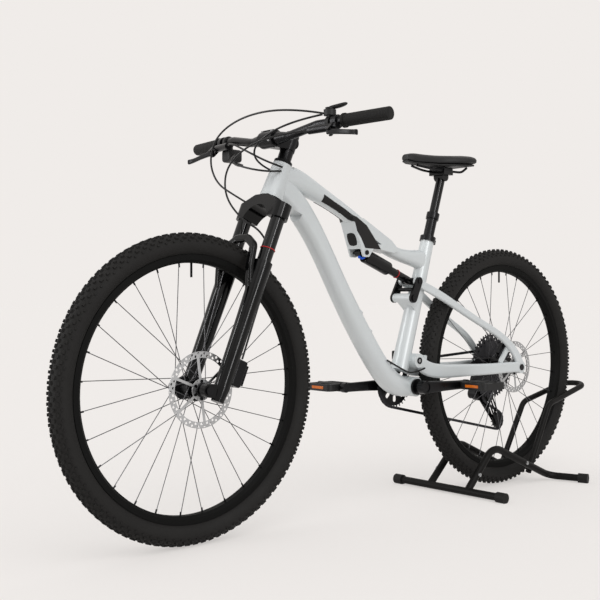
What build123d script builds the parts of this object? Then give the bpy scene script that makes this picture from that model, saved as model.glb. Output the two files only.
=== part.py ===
"""Builds a full-suspension mountain bicycle held by its rear wheel in a tubular floor stand.

Lengths are millimetres. X points forward, Y to the rider's left and Z up. The origin is on the
floor under the middle of the whole object. Side-view points are written (x, z).
"""

import os
from math import asin, atan2, cos, degrees, hypot, pi, radians, sin, sqrt, tan

from build123d import *

os.makedirs("parts", exist_ok=True)

# Main lengths and angles of the bicycle.
TYRE_RADIUS = 369.0
TYRE_WIDTH = 57.0
WHEELBASE = 1184.0
CHAINSTAY = 434.0
BB_DROP = 38.0
HEAD_ANGLE = 67.0
SEAT_ANGLE = 72.0
FORK_OFFSET = 44.0
AXLE_TO_CROWN = 521.0
HEAD_TUBE = 98.0
REAR_TRAVEL = 110.0
FORK_TRAVEL = 110.0
POST_TRAVEL = 100.0
BAR_WIDTH = 742.0
CRANK_LENGTH = 172.0

# Clearances between pieces.
RUN_FIT = 0.08
SLIDE_FIT = 0.1
SIDE_GAP = 0.3

# Wheels.
TYRE_WALL = 3.0
RIM_EDGE_RADIUS = 317.0
RIM_WIDTH = 30.0
RIM_DEPTH = 20.0
RIM_WALL = 2.7
RIM_FLOOR = 9.0
SPOKE_GROUPS = 7
SPOKE_RADIUS = 1.0
SPOKE_CROSSES = 3
FLANGE_RADIUS = 28.0
FRONT_HUB_WIDTH = 110.0
REAR_HUB_WIDTH = 148.0
FRONT_AXLE_RADIUS = 7.5
REAR_AXLE_RADIUS = 6.0
FRONT_ROTOR_RADIUS = 90.0
REAR_ROTOR_RADIUS = 80.0
FRONT_ROTOR_Y = 40.0
REAR_ROTOR_Y = 58.0
ROTOR_THICK = 2.0

# Fork, steering and bar.
LEG_AHEAD = 8.0
LEG_HALF_GAP = 65.0
STANCHION_RADIUS = 17.5
LOWER_RADIUS = 23.0
LOWER_TOP = 324.0
STEERER_RADIUS = 14.3
STEM_UP = 161.0
STEM_LENGTH = 65.0
STEM_STACK = 44.0
BAR_CLAMP_RADIUS = 15.9
BAR_RADIUS = 11.1
BAR_RISE = 20.0
BAR_BACK = 44.0
GRIP_LENGTH = 130.0
GRIP_RADIUS = 15.5

# Frame and suspension.
POST_RADIUS = 15.45
POST_INNER_RADIUS = 13.0
PIVOT_UP = 74.0
PIVOT_BACK = 6.0
YOKE_UP = 226.0
YOKE_BACK = 6.0
SHOCK_FRONT = (190.0, 376.0)
ROCKER_DROP = 45.0
ROCKER_INSIDE = 33.0
ROCKER_THICK = 7.0
EAR_INSIDE = 31.0
EAR_THICK = 13.0
SHELL_HALF_WIDTH = 37.0
BOTTLE_SPACING = 64.0
BOTTLE_BOLT_RADIUS = 2.5

# Drive.
PITCH = 12.7
RING_TEETH = 32
COGS = (50, 42, 36, 32, 28, 24, 21, 18, 16, 14, 12, 10)
CHAIN_COG = 24
COG_SPACING = 3.9
COG_THICK = 1.6
PULLEY_TEETH = 14
CHAINLINE = 48.0
CAGE_LENGTH = 100.0
ROLLER_RADIUS = 3.8

# Stand.
STAND_TUBE = 11.0
STAND_WALL = 1.5
FOOT_RADIUS = 14.0
LOOP_REACH = 437.0
LOOP_RADIUS = 9.0

# Places worked out from the driving sizes.
rear_x = -(WHEELBASE + TYRE_RADIUS - LOOP_REACH) / 2
rear_axle = (rear_x, TYRE_RADIUS)
front_axle = (rear_x + WHEELBASE, TYRE_RADIUS)
bb = (rear_x + sqrt(CHAINSTAY**2 - BB_DROP**2), TYRE_RADIUS - BB_DROP)
head_sin, head_cos = sin(radians(HEAD_ANGLE)), cos(radians(HEAD_ANGLE))
seat_sin, seat_cos = sin(radians(SEAT_ANGLE)), cos(radians(SEAT_ANGLE))
foot = (front_axle[0] - FORK_OFFSET * head_sin, front_axle[1] - FORK_OFFSET * head_cos)


def moved(point, dx, dz):
    """A side-view point moved forward by dx and up by dz."""
    return (point[0] + dx, point[1] + dz)


def part_way(start, end, share_x, share_z):
    """A side-view point at the given shares of the way from start to end."""
    return (
        start[0] + share_x * (end[0] - start[0]),
        start[1] + share_z * (end[1] - start[1]),
    )


def turned(point, pivot, angle):
    """A side-view point turned about a pivot, angle in radians, top towards the front."""
    x, z = point[0] - pivot[0], point[1] - pivot[1]
    return (
        pivot[0] + x * cos(angle) + z * sin(angle),
        pivot[1] - x * sin(angle) + z * cos(angle),
    )


def steer(up, ahead):
    """The side-view point that far up the steering axis and ahead of it."""
    return (
        foot[0] - head_cos * up + head_sin * ahead,
        foot[1] + head_sin * up + head_cos * ahead,
    )


def steer_plane(up, ahead=0.0, y=0.0):
    """A plane square to the steering axis; its x points ahead and its y to the left."""
    x, z = steer(up, ahead)
    return Plane((x, y, z), x_dir=(head_sin, 0, head_cos), z_dir=(-head_cos, 0, head_sin))


def side_plane(y):
    """The side-view plane at y; its x points forward, its y up, and it faces the right."""
    return Plane.XZ.offset(-y)


def wheel_plane(axle):
    """The plane for a revolved wheel section; its x is Y and its y is the radius."""
    return Plane((axle[0], 0, axle[1]), x_dir=(0, 1, 0), z_dir=(1, 0, 0))


def wheel_axis(axle):
    """The axis of a wheel."""
    return Axis((axle[0], 0, axle[1]), (0, 1, 0))


def bar_across(point, y0, y1, radius, mode=Mode.ADD):
    """A cylinder across the bicycle from y0 to y1 at a side-view point."""
    with Locations(Location((point[0], (y0 + y1) / 2, point[1]), (90, 0, 0))):
        Cylinder(radius, abs(y1 - y0), mode=mode)


def rod(plane, length, radius, mode=Mode.ADD):
    """A cylinder standing on a plane."""
    with Locations(plane.location):
        Cylinder(radius, length, align=(Align.CENTER, Align.CENTER, Align.MIN), mode=mode)


def run_between(points, index):
    """The side-view direction of a run of (x, y, z) points at one of them."""
    before = points[max(index - 1, 0)]
    after = points[min(index + 1, len(points) - 1)]
    return (after[0] - before[0], 0, after[2] - before[2])


def tube_sections(stations, roundness=0.47):
    """Rounded cross-sections of a shaped tube from stations (x, y, z, width, depth)."""
    sections = []
    for index, (x, y, z, width, depth) in enumerate(stations):
        facing = run_between(stations, index)
        with BuildSketch(Plane((x, y, z), x_dir=(0, 1, 0), z_dir=facing)) as section:
            RectangleRounded(width, depth, roundness * min(width, depth))
        sections.append(section.sketch)
    return sections


def gentle_radii(points):
    """One bend radius for each inner point of a path, as large as the runs leave room for."""
    radii = []
    for before, here, after in zip(points, points[1:], points[2:]):
        run_in = Vector(*here) - Vector(*before)
        run_out = Vector(*after) - Vector(*here)
        half_turn = radians(run_in.get_angle(run_out)) / 2
        shorter = min(run_in.length, run_out.length)
        radii.append(0.45 * shorter / max(tan(half_turn), 0.02))
    return radii


def cable(points, radius):
    """A cable of straight runs and arcs through the given points, as one solid."""
    with BuildPart() as made:
        with BuildLine() as path:
            FilletPolyline(*points, radius=gentle_radii(points))
        with BuildSketch(Plane(path.line @ 0, z_dir=path.line % 0)):
            Circle(radius)
        sweep()
    return made.part


def write(shape, name):
    """Labels a piece and writes it to its own file."""
    shape.label = name
    export_step(shape, f"parts/{name}.step")


def toothed(teeth, gap_angle):
    """The outline points of a sprocket with a roller gap at gap_angle."""
    pitch_radius = PITCH / (2 * sin(pi / teeth))
    root, tip = pitch_radius - ROLLER_RADIUS - 0.5, pitch_radius + 2.4
    points = []
    for tooth in range(teeth):
        middle = gap_angle + (tooth + 0.5) * 2 * pi / teeth
        half_step = pi / teeth
        for radius, gap in ((root, 4.2), (tip, 5.5), (tip, -5.5), (root, -4.2)):
            side = -1 if gap > 0 else 1
            angle = middle + side * (half_step - abs(gap) / radius)
            points.append((radius * cos(angle), radius * sin(angle)))
    return points


# Suspension points: main pivot, yoke bolt, shock front bolt and the rocker pivot.
main_pivot = moved(bb, -PIVOT_BACK, PIVOT_UP)
yoke = moved(main_pivot, -YOKE_BACK, YOKE_UP)
shock_front = moved(bb, *SHOCK_FRONT)
arm_length = hypot(rear_axle[0] - main_pivot[0], rear_axle[1] - main_pivot[1])
swing = 2 * asin(REAR_TRAVEL / 2 / arm_length)
yoke_end = turned(yoke, main_pivot, swing)
yoke_step = hypot(yoke_end[0] - yoke[0], yoke_end[1] - yoke[1])
rocker_pivot = (
    (yoke[0] + yoke_end[0]) / 2 + ROCKER_DROP * (yoke_end[1] - yoke[1]) / yoke_step,
    (yoke[1] + yoke_end[1]) / 2 - ROCKER_DROP * (yoke_end[0] - yoke[0]) / yoke_step,
)

# Frame places.
seat_top = moved(bb, -93.0, 429.0)
head_low = steer(AXLE_TO_CROWN + 35, 0)
head_high = steer(AXLE_TO_CROWN + HEAD_TUBE - 30, -5)
tube_join = moved(seat_top, 33.0, -68.0)


def seat_plane(up):
    """A plane square to the seat tube, that far up from the top of the frame."""
    x, z = seat_top[0] - seat_cos * up, seat_top[1] + seat_sin * up
    return Plane((x, 0, z), x_dir=(seat_sin, 0, seat_cos), z_dir=(-seat_cos, 0, seat_sin))


def down_tube_point(share_x, share_z):
    """A point of the down tube's middle line, by its shares from the cranks to the head."""
    return part_way(bb, head_low, share_x, share_z)


down_tube_line = [
    (down_tube_point(0.016, -0.006), 74.0, 54.0),
    (down_tube_point(0.148, 0.040), 70.0, 55.0),
    (down_tube_point(0.275, 0.158), 64.0, 56.0),
    (down_tube_point(0.545, 0.512), 58.0, 57.0),
    (down_tube_point(0.806, 0.870), 54.0, 62.0),
    (down_tube_point(0.915, 0.970), 50.0, 64.0),
    (down_tube_point(1.0, 1.030), 44.0, 52.0),
]
top_tube_line = [
    (tube_join, 36.0, 60.0),
    (part_way(tube_join, head_high, 0.127, 0.050), 37.0, 40.0),
    (part_way(tube_join, head_high, 0.238, 0.120), 38.0, 34.0),
    (part_way(tube_join, head_high, 0.518, 0.525), 42.0, 36.0),
    (part_way(tube_join, head_high, 0.717, 0.780), 45.0, 42.0),
    (part_way(tube_join, head_high, 0.890, 0.960), 47.0, 58.0),
    (part_way(tube_join, head_high, 1.0, 1.0), 44.0, 56.0),
]
bottle_low = down_tube_point(0.36, 0.268)
bottle_line = Vector(*down_tube_point(0.545, 0.512)) - Vector(*down_tube_point(0.275, 0.158))
bottle_run = bottle_line.normalized()
bottle_up = (-bottle_run.Y, bottle_run.X)
bottle_places = []
for bolt in range(2):
    bottle_places.append(
        (
            bottle_low[0] + bolt * BOTTLE_SPACING * bottle_run.X + 34.0 * bottle_up[0],
            bottle_low[1] + bolt * BOTTLE_SPACING * bottle_run.Y + 34.0 * bottle_up[1],
        )
    )

# Main frame.
HEAD_BORE_LOW = 26.0
HEAD_BORE_TOP = 21.0
head_base = AXLE_TO_CROWN + 2.0
head_top = AXLE_TO_CROWN + HEAD_TUBE
ROCKER_AXLE_RADIUS = 5.0
PIVOT_AXLE_RADIUS = 7.5
SHOCK_BOLT_RADIUS = 4.0
CHEEK_INSIDE = 22.0
CHEEK_OUTSIDE = 27.0

with BuildPart() as main_frame:
    loft(sections=tube_sections([(p[0], 0, p[1], w, d) for p, w, d in down_tube_line]))
    loft(sections=tube_sections([(p[0], 0, p[1], w, d) for p, w, d in top_tube_line]))
    seat_stations = []
    for up, width, depth in ((-402, 52, 48), (-215, 46, 46), (-60, 40, 41), (0, 38, 38)):
        origin = seat_plane(up).origin
        seat_stations.append((origin.X, 0, origin.Z, width, depth))
    loft(sections=tube_sections(seat_stations, 0.495))
    head_stations = []
    for up, width, depth in ((head_base, 60, 62), (head_base + 40, 54, 56), (head_top, 50, 50)):
        point = steer(up, 0)
        head_stations.append((point[0], 0, point[1], width, depth))
    loft(sections=tube_sections(head_stations, 0.49))
    bar_across(bb, -SHELL_HALF_WIDTH, SHELL_HALF_WIDTH, 28.0)
    bar_across(main_pivot, -EAR_INSIDE + SIDE_GAP, EAR_INSIDE - SIDE_GAP, 20.0)
    bar_across(rocker_pivot, -ROCKER_INSIDE + SIDE_GAP, ROCKER_INSIDE - SIDE_GAP, 13.0)
    # The bracket that carries the rocker pivot ahead of the seat tube.
    with BuildSketch(side_plane(22)):
        with BuildLine():
            seat_spot = moved(rocker_pivot, -46, 2)
            Polyline(
                moved(rocker_pivot, 2, -13),
                moved(rocker_pivot, 2, 12.5),
                moved(seat_spot, 0, 8),
                moved(seat_spot, 14, -44),
                close=True,
            )
        make_face()
    extrude(amount=44)
    # Two cheeks under the top tube hold the front of the shock, with a window above the bolt.
    with BuildSketch(side_plane(CHEEK_OUTSIDE)):
        with BuildLine():
            Polyline(
                moved(shock_front, 52, 96),
                moved(shock_front, 12, -12),
                moved(shock_front, -9, -12),
                moved(shock_front, -30, 14),
                moved(shock_front, -108, 2),
                moved(shock_front, -130, 10),
                moved(shock_front, -100, 36),
                moved(shock_front, 10, 92),
                close=True,
            )
        make_face()
        fillet(vertices().group_by(Axis.Y)[0], 6)
        with BuildLine():
            Polyline(
                moved(shock_front, 14, 58),
                moved(shock_front, -4, 16),
                moved(shock_front, -24, 24),
                moved(shock_front, -60, 24),
                close=True,
            )
        make_face(mode=Mode.SUBTRACT)
    extrude(amount=2 * CHEEK_OUTSIDE)
    # The shock's channel between the cheeks stops at the top tube.
    shock_dir = Vector(yoke[0] - shock_front[0], 0, yoke[1] - shock_front[1]).normalized()
    shock_length = hypot(yoke[0] - shock_front[0], yoke[1] - shock_front[1])
    channel = Plane((shock_front[0], 0, shock_front[1]), x_dir=(0, 1, 0), z_dir=shock_dir)
    with BuildSketch(channel.offset(-22)):
        with Locations((0, 6)):
            RectangleRounded(2 * CHEEK_INSIDE, 60, 8)
    extrude(amount=shock_length - 10, mode=Mode.SUBTRACT)
    # Bottle bosses with their bolt holes on the down tube.
    for place in bottle_places:
        boss = Plane((place[0], 0, place[1]), z_dir=(-bottle_up[0], 0, -bottle_up[1]))
        rod(boss, 16, 8.0)
        rod(boss, 20, BOTTLE_BOLT_RADIUS, Mode.SUBTRACT)
    # Clear room for the crown below the head tube and the cover above it.
    rod(steer_plane(head_base - 60), 60, 95, Mode.SUBTRACT)
    rod(steer_plane(head_top), 40, 32, Mode.SUBTRACT)
    # Bores: head bearings, steerer, seat post, cranks, pivots and shock bolt.
    rod(steer_plane(head_base - 1), HEAD_TUBE, HEAD_BORE_TOP + 1, Mode.SUBTRACT)
    rod(steer_plane(head_base - 1), 12, HEAD_BORE_LOW, Mode.SUBTRACT)
    rod(seat_plane(-212), 230, POST_RADIUS + SLIDE_FIT, Mode.SUBTRACT)
    bar_across(bb, -60, 60, 20.5, Mode.SUBTRACT)
    bar_across(main_pivot, -60, 60, PIVOT_AXLE_RADIUS + RUN_FIT, Mode.SUBTRACT)
    bar_across(rocker_pivot, -60, 60, ROCKER_AXLE_RADIUS + RUN_FIT, Mode.SUBTRACT)
    bar_across(shock_front, -60, 60, SHOCK_BOLT_RADIUS + RUN_FIT, Mode.SUBTRACT)
write(main_frame.part, "main_frame")

# Headset bearings and cover, in the frame.
with BuildPart() as headset:
    rod(steer_plane(head_base + 1), 9, HEAD_BORE_LOW - 0.1)
    rod(steer_plane(head_top - 9), 8, HEAD_BORE_TOP + 0.9)
    rod(steer_plane(head_top + 0.1), 9, 24.0)
    rod(steer_plane(head_base - 5), HEAD_TUBE + 30, STEERER_RADIUS + 0.3, Mode.SUBTRACT)
    rod(steer_plane(head_base - 5), 18, 20.2, Mode.SUBTRACT)
write(headset.part, "headset")

# Seat collar, and the cover of the guide mount on the seat tube's right side.
GUIDE_PLACE = (22.0, 88.0)
GUIDE_SIDE = 25.3 + SIDE_GAP
guide = moved(bb, *GUIDE_PLACE)
with BuildPart() as seat_collar:
    rod(seat_plane(-13), 15, 23.0)
    with Locations(seat_plane(-6).location):
        with Locations((-22, 0, 0)):
            Box(14, 14, 13)
    rod(seat_plane(-16), 16, 19.9, Mode.SUBTRACT)
    rod(seat_plane(-16), 22, POST_RADIUS + 0.25, Mode.SUBTRACT)
with BuildPart() as guide_cover:
    with BuildSketch(side_plane(-GUIDE_SIDE)):
        with Locations(guide):
            RectangleRounded(16, 26, 5)
    extrude(amount=4)
write(Compound(children=[seat_collar.part, guide_cover.part]), "frame_fittings")

# Bottom bracket cups.
SPINDLE_RADIUS = 14.5
with BuildPart() as bottom_bracket:
    bar_across(bb, -SHELL_HALF_WIDTH - 7, SHELL_HALF_WIDTH + 7, 20.4)
    bar_across(bb, -SHELL_HALF_WIDTH - 7, -SHELL_HALF_WIDTH - 0.1, 23.0)
    bar_across(bb, SHELL_HALF_WIDTH + 0.1, SHELL_HALF_WIDTH + 7, 23.0)
    bar_across(bb, -60, 60, SPINDLE_RADIUS + RUN_FIT, Mode.SUBTRACT)
write(bottom_bracket.part, "bottom_bracket")

# Pivot axles of the frame: main pivot, rocker pivot and the shock's front bolt.
EAR_OUTSIDE = EAR_INSIDE + EAR_THICK
ROCKER_OUTSIDE = ROCKER_INSIDE + ROCKER_THICK
axles = []
for point, radius, half, cap in (
    (main_pivot, PIVOT_AXLE_RADIUS, EAR_OUTSIDE - 2, 0),
    (rocker_pivot, ROCKER_AXLE_RADIUS, ROCKER_OUTSIDE + SIDE_GAP, 9.0),
    (shock_front, SHOCK_BOLT_RADIUS, CHEEK_OUTSIDE + 0.1, 6.5),
):
    with BuildPart() as axle:
        bar_across(point, -half, half, radius)
        if cap:
            bar_across(point, half, half + 2.5, cap)
            bar_across(point, -half - 2.5, -half, cap)
    axles.append(axle.part)
write(Compound(children=axles), "pivot_axles")

# Dropper post: outer tube in the frame, inner tube under the saddle.
POST_SHOWS = 57.0
SEAL_TALL = 19.0
post_top = POST_SHOWS + SEAL_TALL
# The rail clamp stays clear of the seal when the post is fully down.
CLAMP_ABOVE_SEAL = 13.0
CLAMP_UP = post_top + POST_TRAVEL + CLAMP_ABOVE_SEAL
with BuildPart() as seatpost_outer:
    rod(seat_plane(-205), 205 + POST_SHOWS, POST_RADIUS)
    rod(seat_plane(POST_SHOWS), SEAL_TALL, 19.0)
    rod(seat_plane(-210), 300, POST_INNER_RADIUS + SLIDE_FIT, Mode.SUBTRACT)
write(seatpost_outer.part, "seatpost_outer")

rail_level = seat_plane(CLAMP_UP).origin.Z + 19.0
clamp_x = seat_plane(CLAMP_UP).origin.X
RAIL_RADIUS = 3.5
RAIL_HALF_GAP = 22.0
with BuildPart() as seatpost_inner:
    rod(seat_plane(-60), CLAMP_UP + 60, POST_INNER_RADIUS)
    bar_across((clamp_x, rail_level - 16), -17, 17, 14.0)
    with Locations((clamp_x, 0, rail_level - 6)):
        Box(40, 2 * RAIL_HALF_GAP + 14, 12)
    for side in (-1, 1):
        with Locations(Location((clamp_x, side * RAIL_HALF_GAP, rail_level), (0, 90, 0))):
            Cylinder(RAIL_RADIUS + 0.05, 80, mode=Mode.SUBTRACT)
write(seatpost_inner.part, "seatpost_inner")

with BuildPart() as saddle_clamp:
    with Locations((clamp_x, 0, rail_level + 5.3)):
        Box(38, 2 * RAIL_HALF_GAP + 14, 10)
    fillet(edges().filter_by(Axis.X).group_by(Axis.Z)[-1], 4)
    for side in (-1, 1):
        with Locations(Location((clamp_x, side * RAIL_HALF_GAP, rail_level), (0, 90, 0))):
            Cylinder(RAIL_RADIUS + 0.05, 80, mode=Mode.SUBTRACT)
write(saddle_clamp.part, "saddle_clamp")

# Saddle: pad, base and rails. Each station is (x from the clamp, half width, top, thickness).
SADDLE_TOP = rail_level + 46.0
saddle_stations = (
    (-104, 44, 1.0, 20),
    (-90, 62, 4.0, 26),
    (-60, 69, 4.0, 28),
    (-20, 58, 1.0, 27),
    (30, 36, -2.0, 26),
    (90, 23, -4.0, 25),
    (140, 18, -6.0, 23),
    (158, 12, -10.0, 16),
)


def saddle_section(x, half, top, thick):
    """A padded saddle section: crowned on top, drawn in at the bottom."""
    plane = Plane((clamp_x + x, 0, SADDLE_TOP + top), x_dir=(0, 1, 0), z_dir=(1, 0, 0))
    drawn = 0.88 * half
    with BuildSketch(plane) as section:
        with BuildLine():
            ThreePointArc((-drawn, -0.32 * thick), (0, 0), (drawn, -0.32 * thick))
            ThreePointArc((drawn, -0.32 * thick), (half, -0.7 * thick), (drawn, -thick))
            Line((drawn, -thick), (-drawn, -thick))
            ThreePointArc((-drawn, -thick), (-half, -0.7 * thick), (-drawn, -0.32 * thick))
        make_face()
    return section.sketch


SHELL_DROP = 3.2
SHELL_THICK = 5.0


def base_section(x, half, top, thick):
    """The flat shell under one saddle section."""
    low = SADDLE_TOP + top - thick - SHELL_DROP
    plane = Plane((clamp_x + x, 0, low), x_dir=(0, 1, 0), z_dir=(1, 0, 0))
    with BuildSketch(plane) as section:
        RectangleRounded(1.7 * half, SHELL_THICK, 1.5)
    return section.sketch


def base_under(x):
    """The height of the shell's underside at x from the clamp."""
    for behind, ahead in zip(saddle_stations, saddle_stations[1:]):
        if behind[0] <= x <= ahead[0]:
            share = (x - behind[0]) / (ahead[0] - behind[0])
            top = behind[2] + share * (ahead[2] - behind[2])
            thick = behind[3] + share * (ahead[3] - behind[3])
    return SADDLE_TOP + top - thick - SHELL_DROP - SHELL_THICK / 2


with BuildPart() as saddle_pad:
    loft(sections=[saddle_section(*station) for station in saddle_stations])
write(saddle_pad.part, "saddle_pad")
with BuildPart() as saddle_base:
    loft(sections=[base_section(*station) for station in saddle_stations], ruled=True)
write(saddle_base.part, "saddle_base")
RAIL_REAR = -82.0
RAIL_FRONT = 118.0
rail_parts = []
for side in (-1, 1):
    rail_points = [
        (clamp_x + RAIL_REAR, side * 30, base_under(RAIL_REAR) - SIDE_GAP - 0.82 * RAIL_RADIUS),
        (clamp_x - 62, side * 27, rail_level),
        (clamp_x - 40, side * RAIL_HALF_GAP, rail_level),
        (clamp_x + 55, side * RAIL_HALF_GAP, rail_level),
        (clamp_x + RAIL_FRONT, side * 10, base_under(RAIL_FRONT) - SIDE_GAP - RAIL_RADIUS),
    ]
    rail_parts.append(cable(rail_points, RAIL_RADIUS))
write(Compound(children=rail_parts), "saddle_rails")

# Fork crown with its steerer, and the stanchions.
CROWN_SIDE = LEG_HALF_GAP + STANCHION_RADIUS + 6.5
with BuildPart() as fork_crown:
    with BuildSketch(steer_plane(AXLE_TO_CROWN - 66)):
        Circle(24)
        with Locations((LEG_AHEAD, -LEG_HALF_GAP), (LEG_AHEAD, LEG_HALF_GAP)):
            Circle(STANCHION_RADIUS + 6.5)
        make_hull()
    extrude(amount=66)
    front_view = Plane(
        (steer(AXLE_TO_CROWN, -60)[0], 0, steer(AXLE_TO_CROWN, -60)[1]),
        x_dir=(0, 1, 0),
        z_dir=(head_sin, 0, head_cos),
    )
    with BuildSketch(front_view):
        with BuildLine():
            Polyline(
                (-46, -62),
                (-CROWN_SIDE - 1, -62),
                (-CROWN_SIDE - 1, -24),
                (-LEG_HALF_GAP, -19),
                (-30, -2),
                (-24, 0),
                (24, 0),
                (30, -2),
                (LEG_HALF_GAP, -19),
                (CROWN_SIDE + 1, -24),
                (CROWN_SIDE + 1, -62),
                (46, -62),
            )
            ThreePointArc((46, -62), (0, -28), (-46, -62))
        make_face()
    extrude(amount=160, mode=Mode.INTERSECT)
    for side in (-1, 1):
        rod(
            steer_plane(AXLE_TO_CROWN - 90, LEG_AHEAD, side * LEG_HALF_GAP),
            62,
            STANCHION_RADIUS + 0.05,
            Mode.SUBTRACT,
        )
    rod(steer_plane(AXLE_TO_CROWN - 8), 30, 19.7)
    with Locations(steer_plane(AXLE_TO_CROWN + 22).location):
        Cone(19.7, STEERER_RADIUS, 40, align=(Align.CENTER, Align.CENTER, Align.MIN))
    rod(steer_plane(AXLE_TO_CROWN + 62), STEM_UP + STEM_STACK / 2 - 64, STEERER_RADIUS)
write(fork_crown.part, "fork_crown")

STANCHION_LOW = 160.0
stanchions = []
for side in (-1, 1):
    with BuildPart() as stanchion:
        rod(
            steer_plane(STANCHION_LOW, LEG_AHEAD, side * LEG_HALF_GAP),
            AXLE_TO_CROWN - 28.1 - STANCHION_LOW,
            STANCHION_RADIUS,
        )
    stanchions.append(stanchion.part)
write(Compound(children=stanchions), "fork_stanchions")

# Stem, faceplate and spacers.
stem_spot = steer(AXLE_TO_CROWN + STEM_UP, 0)
STEM_SLOPE = radians(3.0)
stem_dir = (cos(STEM_SLOPE), sin(STEM_SLOPE))
bar_spot = moved(stem_spot, STEM_LENGTH * stem_dir[0], STEM_LENGTH * stem_dir[1])
CLAMP_HALF_WIDTH = 27.0
CLAMP_WALL = 5.5
SPACER_RADIUS = 18.0


def stem_plane(out):
    """A plane square to the stem, that far out from the steering axis."""
    x, z = stem_spot[0] + out * stem_dir[0], stem_spot[1] + out * stem_dir[1]
    return Plane((x, 0, z), x_dir=(0, 1, 0), z_dir=(stem_dir[0], 0, stem_dir[1]))


with BuildPart() as stem:
    rod(steer_plane(AXLE_TO_CROWN + STEM_UP - STEM_STACK / 2), STEM_STACK, 19.5)
    with BuildSketch(side_plane(17)):
        with Locations(stem_spot):
            Circle(17)
        with Locations(bar_spot):
            Circle(BAR_CLAMP_RADIUS + CLAMP_WALL - 2)
        make_hull()
    extrude(amount=34)
    bar_across(bar_spot, -CLAMP_HALF_WIDTH, CLAMP_HALF_WIDTH, BAR_CLAMP_RADIUS + CLAMP_WALL)
    with BuildSketch(stem_plane(STEM_LENGTH - 1)):
        Rectangle(80, 80)
    extrude(amount=40, mode=Mode.SUBTRACT)
    bar_across(bar_spot, -40, 40, BAR_CLAMP_RADIUS + 0.05, Mode.SUBTRACT)
    rod(steer_plane(AXLE_TO_CROWN + STEM_UP - 40), 90, STEERER_RADIUS + 0.05, Mode.SUBTRACT)
    # Flat underside on the spacers.
    rod(
        steer_plane(AXLE_TO_CROWN + STEM_UP - STEM_STACK / 2 - 20),
        20,
        SPACER_RADIUS + SIDE_GAP,
        Mode.SUBTRACT,
    )
write(stem.part, "stem")

with BuildPart() as stem_faceplate:
    bar_across(bar_spot, -CLAMP_HALF_WIDTH, CLAMP_HALF_WIDTH, BAR_CLAMP_RADIUS + CLAMP_WALL)
    with BuildSketch(stem_plane(STEM_LENGTH + 8)):
        RectangleRounded(2 * CLAMP_HALF_WIDTH - 4, 46, 6)
    extrude(amount=-7)
    with BuildSketch(stem_plane(STEM_LENGTH + 1)):
        Rectangle(90, 90)
    extrude(amount=-60, mode=Mode.SUBTRACT)
    bar_across(bar_spot, -40, 40, BAR_CLAMP_RADIUS + 0.05, Mode.SUBTRACT)
write(stem_faceplate.part, "stem_faceplate")

with BuildPart() as spacers:
    low = head_top + 9.4
    rod(steer_plane(low), AXLE_TO_CROWN + STEM_UP - STEM_STACK / 2 - low - 0.05, SPACER_RADIUS)
    rod(steer_plane(low - 1), 80, STEERER_RADIUS + 0.05, Mode.SUBTRACT)
with BuildPart() as top_cap:
    rod(steer_plane(AXLE_TO_CROWN + STEM_UP + STEM_STACK / 2 + 0.05), 5, 17.0)
write(Compound(children=[spacers.part, top_cap.part]), "headset_spacers")

# Handlebar: a bent tube, thicker where the stem holds it.
bar_end = (bar_spot[0] - BAR_BACK, BAR_WIDTH / 2, bar_spot[1] + BAR_RISE)
bar_bend = (bar_spot[0] - 0.27 * BAR_BACK, 0.22 * BAR_WIDTH, bar_spot[1] + 0.85 * BAR_RISE)
bar_start = (bar_spot[0], 0.1 * BAR_WIDTH, bar_spot[1])


def other_side(point):
    """A point mirrored to the right side."""
    return (point[0], -point[1], point[2])


with BuildPart() as handlebar:
    with BuildLine() as bar_path:
        FilletPolyline(
            other_side(bar_end),
            other_side(bar_bend),
            other_side(bar_start),
            bar_start,
            bar_bend,
            bar_end,
            radius=70,
        )
    with BuildSketch(Plane(bar_path.line @ 0, z_dir=bar_path.line % 0)):
        Circle(BAR_RADIUS)
    sweep()
    bar_across(bar_spot, -CLAMP_HALF_WIDTH - 8, CLAMP_HALF_WIDTH + 8, BAR_CLAMP_RADIUS)
    for side in (-1, 1):
        shoulder = (bar_spot[0], side * (CLAMP_HALF_WIDTH + 8), bar_spot[1])
        with Locations(Location(shoulder, (-side * 90, 0, 0))):
            Cone(
                BAR_CLAMP_RADIUS,
                BAR_RADIUS + 0.1,
                30,
                align=(Align.CENTER, Align.CENTER, Align.MIN),
            )
write(handlebar.part, "handlebar")

grip_run = (Vector(*bar_end) - Vector(*bar_bend)).normalized()


def grip_plane(back, side):
    """A plane square to the bar's end run, that far in from its end."""
    spot = Vector(*bar_end) - grip_run * back
    along = Vector(grip_run.X, side * grip_run.Y, grip_run.Z)
    return Plane((spot.X, side * spot.Y, spot.Z), x_dir=(1, 0, 0), z_dir=along)


grip_parts = []
for side in (-1, 1):
    with BuildPart() as grip:
        rod(grip_plane(GRIP_LENGTH, side), GRIP_LENGTH + 3, GRIP_RADIUS)
        rod(grip_plane(GRIP_LENGTH, side), 6, GRIP_RADIUS + 2)
        fillet(edges().group_by(Axis.Y)[0 if side < 0 else -1], 2.5)
        rod(grip_plane(GRIP_LENGTH + 2, side), GRIP_LENGTH + 2, BAR_RADIUS + 0.05, Mode.SUBTRACT)
    grip_parts.append(grip.part)
write(Compound(children=grip_parts), "grips")

# Brake lever bodies and blades. A lever plane lies ahead of and below the bar.
LEVER_AHEAD = 25.0
LEVER_BELOW = 24.0
LEVER_CLAMP = 152.0
lever_spot = Vector(*bar_end) - grip_run * LEVER_CLAMP


def lever_point(along, ahead, below, side):
    """A point beside the bar: along it from the clamp outwards, ahead of it and below it."""
    spot = lever_spot + grip_run * along
    return (spot.X + ahead, side * spot.Y, spot.Z - below)


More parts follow.
